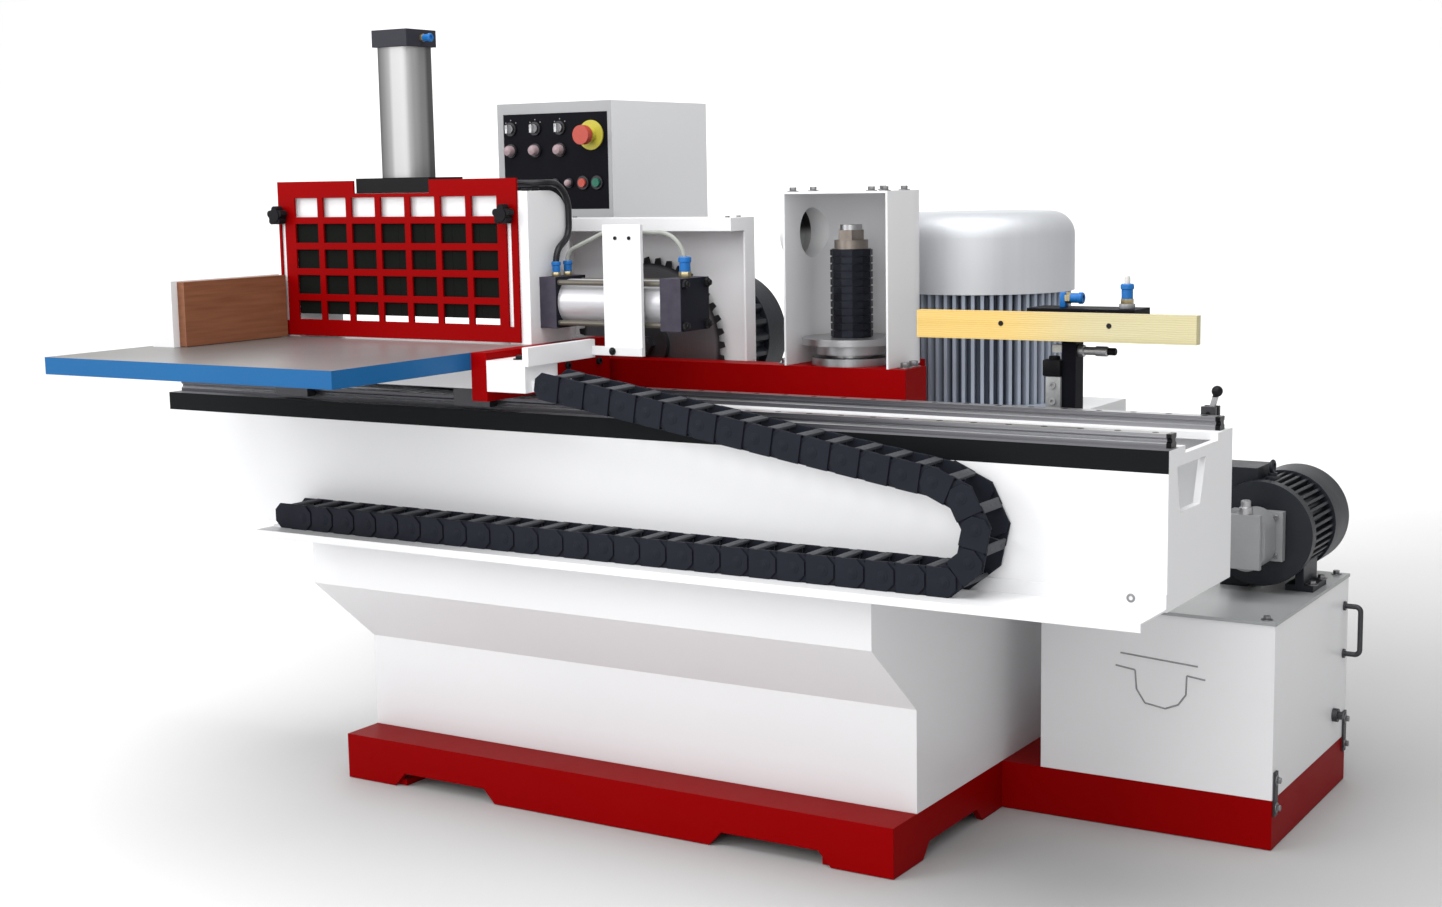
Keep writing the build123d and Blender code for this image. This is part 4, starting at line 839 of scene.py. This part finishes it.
def carriage_screws():
    """Screws of the valve post, the gate, the chain bracket, the side bar and the fence."""
    bm = bmesh.new()
    plate_front = post.rear - 0.008
    for x in (post.right - 0.054, post.right - 0.024):
        add_socket_screw(bm, (x, plate_front, post.top - 0.024), TO_FRONT, 0.0033, 0.0025)
    bar_front = post.rear - 0.010
    add_hex_bolt(bm, (post.right - 0.064, bar_front, table.top - 0.008), TO_FRONT, 0.0075, 0.004)
    for y in (gate_right.front + 0.014, gate_right.front + 0.042):
        for x in (gate_right.right - 0.014, gate_left.x):
            add_socket_screw(bm, (x, y, gate_right.top), TO_TOP, 0.0075, 0.005)
    bracket_top = table.top - 0.013
    for y in (post.front + 0.040, post.front + 0.070):
        add_hex_bolt(bm, (post.left + 0.043, y, bracket_top), TO_TOP, 0.012, 0.006)
    for step in (0.12, 0.24, 0.34):
        add_socket_screw(bm, (side_bar.right, side_bar.front + step, side_bar.z), TO_RIGHT, 0.007, 0.006)
    foot_top = fence.bottom + 0.024
    for step in (0.04, 0.14, 0.25):
        add_hex_bolt(bm, (fence.left + 0.018, fence.front + step, foot_top), TO_TOP, 0.013, 0.007)
    settle(bm, "carriage_screws", "carriage", screw_black)


def tie_rod_nuts():
    off = 0.037
    nut = 0.007
    bm = bmesh.new()
    for y in (clamp.y - off, clamp.y + off):
        for z in (clamp.z - off, clamp.z + off):
            add_rod(bm, (clamp.right, y, z), TO_RIGHT, nut, 0.0085, 6, 0.0005)
            add_rod(bm, (clamp.right + nut, y, z), TO_RIGHT, 0.004, 0.005, 16, 0.0005)
    settle(bm, "tie_rod_nuts", "carriage", screw_black)


def add_fitting(nuts, collars, start, way, size):
    """Push-in air fitting: brass nut, blue collar with a sunk mouth."""
    nut = 0.008 * size
    collar = [(0, 0), (0, 0.0075), (0.012, 0.0075), (0.013, 0.0088), (0.018, 0.0088), (0.0195, 0.0075),
              (0.0195, 0.0045), (0.017, 0.0042), (0.017, 0)]
    add_rod(nuts, start, way, nut, 0.0085 * size, 6, 0.0006)
    add_turned(collars, Vector(start) + Vector(way) * nut, way,
               [(along * size, radius * size) for along, radius in collar], 24)


def fittings():
    """Air fittings of the cylinders, with an elbow block under the one that lies on the board unit."""
    left_port = clamp.left + 0.018
    apart = 0.018
    elbow = Vector((board_unit.left + 0.056, UNIT_POST_REAR, board_unit.top + 0.016))
    carriage = [((left_port, clamp.y + apart, clamp.top), TO_TOP, 1.0),
                ((left_port, clamp.y - apart, clamp.top), TO_TOP, 1.0),
                ((clamp.right - 0.020, clamp.y, clamp.top), TO_TOP, 1.35),
                ((press.x + 0.043, press.y, press.top - 0.016), TO_RIGHT, 0.9),
                ((press.right, press.front + 0.025, press.bottom + 0.014), TO_RIGHT, 1.0)]
    machine = [(elbow, TO_RIGHT, 1.15), ((*UNIT_PORT, board_unit.top + 0.006), TO_TOP, 1.3)]
    for body, spots in (("carriage", carriage), ("machine", machine)):
        nuts = bmesh.new()
        collars = bmesh.new()
        for start, way, size in spots:
            add_fitting(nuts, collars, start, way, size)
        if body == "machine":
            low = (elbow.x - 0.010, elbow.y - 0.008, board_unit.top - SINK)
            add_box(collars, low, elbow + Vector((0.001, 0.008, 0.010)), 0.002)
        settle(nuts, f"fitting_nuts_{body}", body, fitting_brass)
        settle(collars, f"fitting_collars_{body}", body, fitting_blue)


def shade_curtain():
    """Dark strips that stand in for the shade seen through the guard's holes, bent over the underside of the
    gate beam and hanging close behind the guard.
    """
    strips = 8
    width = 0.0652
    slit = 0.0004
    thick = 0.0022
    bend = 0.010
    under = gate_beam.bottom - 0.0004
    rear = gate_beam.front + 0.026
    outer = guard.rear + 0.0022
    inner = outer + thick
    low = guard.bottom + 0.043
    first = gate_left.right + 0.002
    quarter = [step * math.pi / 8 for step in range(5)]
    middle_y = outer + bend
    middle_z = under - bend

    def rim(radius, turns):
        return [(middle_y - radius * math.sin(turn), middle_z + radius * math.cos(turn)) for turn in turns]

    outline = [(rear, under), (rear, under - thick)] + rim(bend - thick, quarter)
    outline += [(inner, low), (outer, low)] + rim(bend, reversed(quarter))
    bm = bmesh.new()
    for index in range(strips):
        x0 = first + index * (width + slit)
        add_drawn(bm, [(x0, y, z) for y, z in outline], (width, 0.0, 0.0))
    made = settle(bm, "shade_curtain", "carriage", shade_curtain_black)


def stub_shade_plug():
    """Dark plug in the outer end of the dust stub, standing in for the shade inside the duct."""
    cup = [(0, 0), (0, 0.0455), (0.014, 0.0455), (0.014, 0.042), (0.004, 0.041), (0.004, 0)]
    bm = bmesh.new()
    add_turned(bm, (spindle_hood.left + SINK, spindle_hood.front + 0.102, STUB_Z), TO_RIGHT, cup, 40)
    settle(bm, "stub_shade_plug", "machine", plug_finish())


def control_details():
    """Lamp lenses, the marks round the selectors and the line on each selector's grip."""
    lamp_drop = 0.046
    lamp_dome = [(-0.009, 0), (-0.009, 0.0112), (0.0, 0.0112), (0.004, 0.009), (0.0055, 0.005), (0.006, 0)]
    pilot_pitch = 0.036
    pilot_dome = [(-0.006, 0), (-0.006, 0.0072), (0.0, 0.0072), (0.003, 0.005), (0.0038, 0)]
    lenses = bmesh.new()
    for switch in selectors:
        add_turned(lenses, (switch.x, lamps.front, switch.z - lamp_drop), TO_FRONT, lamp_dome, 28)
    for place in (2, 1):
        spot = (red_button.x - place * pilot_pitch, lamps.front + 0.002, red_button.z)
        add_turned(lenses, spot, TO_FRONT, pilot_dome, 24)
    settle(lenses, "lamp_lenses", "machine", lens_pale)
    ring = 0.019
    half = 0.0012
    thick = 0.0004
    marks = bmesh.new()
    for switch in selectors:
        for turn in (-45, 0, 45):
            x = switch.x + ring * math.sin(math.radians(turn))
            z = switch.z + ring * math.cos(math.radians(turn))
            add_box(marks, (x - half, panel.front - thick, z - half), (x + half, panel.front, z + half), 0)
    settle(marks, "selector_marks", "machine", mark_white)
    half = 0.0008
    proud = 0.0003
    for index, switch in enumerate(selectors):
        line = bmesh.new()
        front = switch.front - proud
        add_box(line, (switch.x - half, front, switch.z + 0.001),
                (switch.x + half, front + thick, switch.z + 0.0075), 0)
        settle(line, f"selector_line_{index + 1}", f"selector_{index + 1}", mark_white)


def tank_details():
    """Pressed outline on the tank's front, its lines made grey as painted shade of the crease, and the bolts
    of lid, straps, motor feet and pump flange.
    """
    ledge = [(0.154, 0.236), (0.298, 0.226)]
    pocket = [(0.145, 0.212), (0.182, 0.207), (0.185, 0.172), (0.201, 0.148), (0.239, 0.142), (0.263, 0.152),
              (0.277, 0.172), (0.278, 0.207), (0.312, 0.203)]
    depth = 0.0005
    # Painted shade: the pressed lines are made grey on the white tank.
    slit = bmesh.new()
    for line in (ledge, pocket):
        spots = [Vector((tank.left + x, tank.front + depth, tank.bottom + z)) for x, z in line]
        for start, end in zip(spots, spots[1:]):
            add_rod(slit, start, end - start, (end - start).length, 0.0018, 10, 0.0003)
    settle(slit, "tank_slit", "machine", crease_shade_grey)
    bolts = bmesh.new()
    for x in (tank.left + 0.020, tank.left + 0.215, tank.right - 0.020):
        for y in (tank.front + 0.016, tank.rear - 0.015):
            add_hex_bolt(bolts, (x, y, tank_lid.top), TO_TOP, 0.011, 0.006)
    strap = 0.004
    for y in (tank.front + 0.014, tank.rear - 0.014):
        for z in (tank.bottom - 0.015, tank.bottom + 0.035):
            add_hex_bolt(bolts, (tank.right + strap, y, z), TO_RIGHT, 0.010, 0.006)
    foot = 0.012
    for x in (pump_motor.x - 0.082, pump_motor.x + 0.082):
        for y in (pump_motor.front + 0.061, pump_motor.front + 0.126):
            add_hex_bolt(bolts, (x, y, tank_lid.top + foot), TO_TOP, 0.012, 0.006)
    off = 0.036
    flange_front = pump_motor.front - 0.018
    for z in (PUMP_AXIS_Z - off, PUMP_AXIS_Z + off):
        for x in (pump_motor.x - off, pump_motor.x + off):
            add_socket_screw(bolts, (x, flange_front, z), TO_FRONT, 0.005, 0.004)
    settle(bolts, "oil_unit_bolts", "machine", screw_steel)


def pump_details():
    """Fan grille and lifting eye of the pump motor, and both ports of the pump."""
    x = pump_motor.x
    ribs = bmesh.new()
    for ring in (0.03, 0.045, 0.06, 0.075):
        rib = [(0, ring - 0.003), (0.0016, ring - 0.002), (0.0016, ring + 0.002), (0, ring + 0.003)]
        add_turned(ribs, (x, pump_motor.rear, PUMP_AXIS_Z), TO_REAR, rib, 48)
    settle(ribs, "fan_grille", "machine", black_enamel)
    inlet = [(0, 0.012), (0, 0.018), (0.010, 0.018), (0.012, 0.014), (0.024, 0.014), (0.026, 0.010),
             (0.026, 0.006), (0.018, 0.006), (0.018, 0)]
    outlet = [(0, 0), (0, 0.012), (0.012, 0.012), (0.014, 0.009), (0.024, 0.009), (0.026, 0.006), (0.026, 0)]
    ports = bmesh.new()
    add_turned(ports, (gear_pump.left, gear_pump.front + 0.048, PUMP_AXIS_Z + 0.010), TO_LEFT, inlet, 28)
    add_turned(ports, (x, gear_pump.front + 0.012, PUMP_AXIS_Z + 0.050), TO_TOP, outlet, 24)
    settle(ports, "pump_ports", "machine", steel)
    y = pump_motor.front + 0.076
    pad_top = PUMP_AXIS_Z + 0.0985
    ring = 0.0098
    bar = 0.0038
    turns = [math.tau * step / 12 for step in range(13)]
    eye = bmesh.new()
    add_box(eye, (x - 0.011, y - 0.013, pad_top - 0.0205), (x + 0.011, y + 0.013, pad_top), 0.002)
    add_rod(eye, (x, y, pad_top - 0.001), TO_TOP, 0.007, 0.0085, 20, 0.001)
    add_turned(eye, (x, y, pad_top + 0.017), TO_RIGHT,
               [(bar * math.sin(turn), ring + bar * math.cos(turn)) for turn in turns], 36)
    settle(eye, "lifting_eye", "machine", motor_dark)


def board_details():
    """Screws of the aligning board, and the fittings, lock pin and air valve on its post."""
    screws = bmesh.new()
    for x in (board.left + 0.160, board.right - 0.150):
        add_socket_screw(screws, (x, board.front + SINK, board.bottom + 0.028), TO_FRONT, 0.0045, 0.0012)
    settle(screws, "board_screws", "aligner", screw_black)
    bolts = bmesh.new()
    for x in (UNIT_POST_LEFT - 0.003, UNIT_POST_LEFT + 0.016):
        for z in (board_unit.bottom + 0.020, board_unit.bottom + 0.120):
            add_hex_bolt(bolts, (x, UNIT_POST_REAR, z), TO_REAR, 0.009, 0.006)
    settle(bolts, "board_post_bolts", "machine", screw_steel)
    top = board_unit.top
    bases = bmesh.new()
    add_rod(bases, (*UNIT_PORT, top - SINK), TO_TOP, 0.008, 0.0135, 20, 0.0008)
    settle(bases, "fitting_bases", "machine", valve_grey)
    side = UNIT_POST_LEFT + SINK
    rear = board_unit.rear
    nose = [(-0.008, 0), (-0.008, 0.005), (0.012, 0.005), (0.015, 0.0035), (0.015, 0)]
    caps = bmesh.new()
    add_turned(caps, (*UNIT_PORT, top + 0.040), TO_TOP, nose, 20)
    add_box(caps, (side - 0.0172, rear - 0.073, top - 0.076), (side, rear - 0.055, top - 0.062), 0.001)
    settle(caps, "pale_caps", "machine", pale_plastic)
    pin_y = rear - 0.053
    pin_z = top - 0.073
    shank = [(0, 0), (0, 0.0105), (0.009, 0.0105), (0.010, 0.0072), (0.030, 0.0072), (0.031, 0.0088),
             (0.050, 0.0088), (0.052, 0.007), (0.052, 0)]
    pin = bmesh.new()
    add_turned(pin, (UNIT_POST_RIGHT, pin_y, pin_z), TO_RIGHT, shank, 28)
    settle(pin, "lock_pin", "machine", pin_steel)
    grip = [(0, 0), (0, 0.0065), (0.013, 0.0065), (0.015, 0.005), (0.015, 0)]
    tip = bmesh.new()
    add_turned(tip, (UNIT_POST_RIGHT + 0.0515, pin_y, pin_z), TO_RIGHT, grip, 24)
    settle(tip, "lock_pin_tip", "machine", knob_black)
    seam = top - 0.117
    front = rear - 0.077
    port = [(0, 0.006), (0.003, 0.006), (0.003, 0.003), (0.001, 0.003), (0.001, 0)]
    valve = bmesh.new()
    add_box(valve, (side - 0.0282, front, seam - 0.058), (side, front + 0.026, seam), 0.002)
    for z in (seam - 0.043, seam - 0.015):
        add_turned(valve, (side - 0.0142, front, z), TO_FRONT, port, 18)
    settle(valve, "air_valve_body", "machine", valve_grey)
    knob = [(0, 0), (0, 0.010), (0.004, 0.010), (0.006, 0.008), (0.006, 0)]
    head_top = seam + 0.029
    head = bmesh.new()
    add_box(head, (side - 0.0332, front - 0.002, seam), (side, front + 0.028, head_top), 0.003)
    add_turned(head, (side - 0.0162, front + 0.013, head_top), TO_TOP, knob, 24)
    settle(head, "air_valve_head", "machine", knob_black)


cable_chain()
rail_screws()
hood_bolts()
carriage_screws()
tie_rod_nuts()
fittings()
shade_curtain()
stub_shade_plug()
control_details()
tank_details()
pump_details()
board_details()


# Floor, light and camera

FLOOR_Z = -0.0015
FLOOR_FRONT = -14.0
FLOOR_HALF = 16.0
FLOOR_TURN = math.radians(32.0)
COVE_START = 6.0
COVE_RADIUS = 4.0
COVE_STEPS = 12
WALL_TOP = 14.0


def floor_paper():
    """Pale paper with a painted shadow that darkens it round the machine."""
    middle_x = 0.60
    middle_y = 0.20
    p = Paint("floor_paper")
    reach = p.reach(p.x - middle_x, p.y - middle_y)
    # Painted shadow: grey round a point beside the machine, fading out to pale paper.
    near = p.blend(p.noise(0.6), rgb(0.44, 0.44, 0.44), rgb(0.48, 0.48, 0.48))
    return p.finish(p.blend(p.soften(reach, 0.45, 2.9), near, rgb(0.93, 0.93, 0.93)), 0.7, edge=0)


def floor():
    """Floor that curves up into a rear wall."""
    line = [(FLOOR_FRONT, FLOOR_Z), (COVE_START, FLOOR_Z)]
    for index in range(1, COVE_STEPS + 1):
        angle = math.pi / 2 * index / COVE_STEPS
        y = COVE_START + COVE_RADIUS * math.sin(angle)
        line.append((y, FLOOR_Z + COVE_RADIUS * (1 - math.cos(angle))))
    line.append((COVE_START + COVE_RADIUS, WALL_TOP))
    bm = bmesh.new()
    verts = [bm.verts.new((-FLOOR_HALF, y, z)) for y, z in line]
    edges = [bm.edges.new(pair) for pair in zip(verts, verts[1:])]
    grown = bmesh.ops.extrude_edge_only(bm, edges=edges)
    moved = [item for item in grown["geom"] if isinstance(item, bmesh.types.BMVert)]
    bmesh.ops.translate(bm, verts=moved, vec=(2 * FLOOR_HALF, 0.0, 0.0))
    bmesh.ops.rotate(bm, cent=(0, 0, 0), matrix=Matrix.Rotation(FLOOR_TURN, 3, "Z"), verts=bm.verts)
    mesh = bpy.data.meshes.new("floor")
    bm.to_mesh(mesh)
    bm.free()
    mesh.polygons.foreach_set("use_smooth", [True] * len(mesh.polygons))
    mesh.materials.append(floor_paper())
    made = bpy.data.objects.new("floor", mesh)
    bpy.context.scene.collection.objects.link(made)


def lamp(name, spot, aim, size, power):
    light = bpy.data.lights.new(name, "AREA")
    light.shape = "RECTANGLE"
    light.size, light.size_y = size
    light.energy = power
    holder = bpy.data.objects.new(name, light)
    holder.location = spot
    holder.rotation_euler = (Vector(aim) - Vector(spot)).to_track_quat("-Z", "Y").to_euler()
    bpy.context.scene.collection.objects.link(holder)


def studio():
    floor()
    lamp("overhead", (0.3, -1.6, 4.6), (0.1, -0.2, 0.6), (5.0, 4.0), 210)
    lamp("front_left", (-3.6, -4.6, 2.6), (0.0, -0.3, 0.7), (3.0, 3.0), 125)
    lamp("front_right", (1.6, -5.2, 2.4), (0.3, -0.2, 0.8), (3.0, 2.4), 78)
    lamp("backdrop", (-2.0, 3.4, 4.4), (-5.6, 9.2, 1.2), (7.0, 3.0), 320)
    world = bpy.data.worlds.new("room")
    world.use_nodes = True
    background = world.node_tree.nodes["Background"]
    background.inputs["Color"].default_value = (1.0, 1.0, 1.0, 1.0)
    background.inputs["Strength"].default_value = 0.50
    bpy.context.scene.world = world
    bpy.context.scene.view_settings.view_transform = "Standard"


def viewpoint():
    """Camera at the place from which the photograph was taken."""
    photo_width_px = 1442.0
    focal_px = 1990.5
    sensor = 36.0
    spot = (2.1028, -3.3901, 1.1931)
    right = Vector((0.8501, 0.5264, -0.0172)).normalized()
    ahead = Vector((-0.5235, 0.8409, -0.1376)).normalized()
    up = right.cross(ahead).normalized()
    lens = bpy.data.cameras.new("photo_view")
    lens.sensor_fit = "HORIZONTAL"
    lens.sensor_width = sensor
    lens.lens = focal_px / photo_width_px * sensor
    lens.clip_end = 100.0
    holder = bpy.data.objects.new("photo_view", lens)
    holder.matrix_world = Matrix.Translation(spot) @ Matrix((right, up, -ahead)).transposed().to_4x4()
    bpy.context.scene.collection.objects.link(holder)
    bpy.context.scene.camera = holder


studio()
viewpoint()
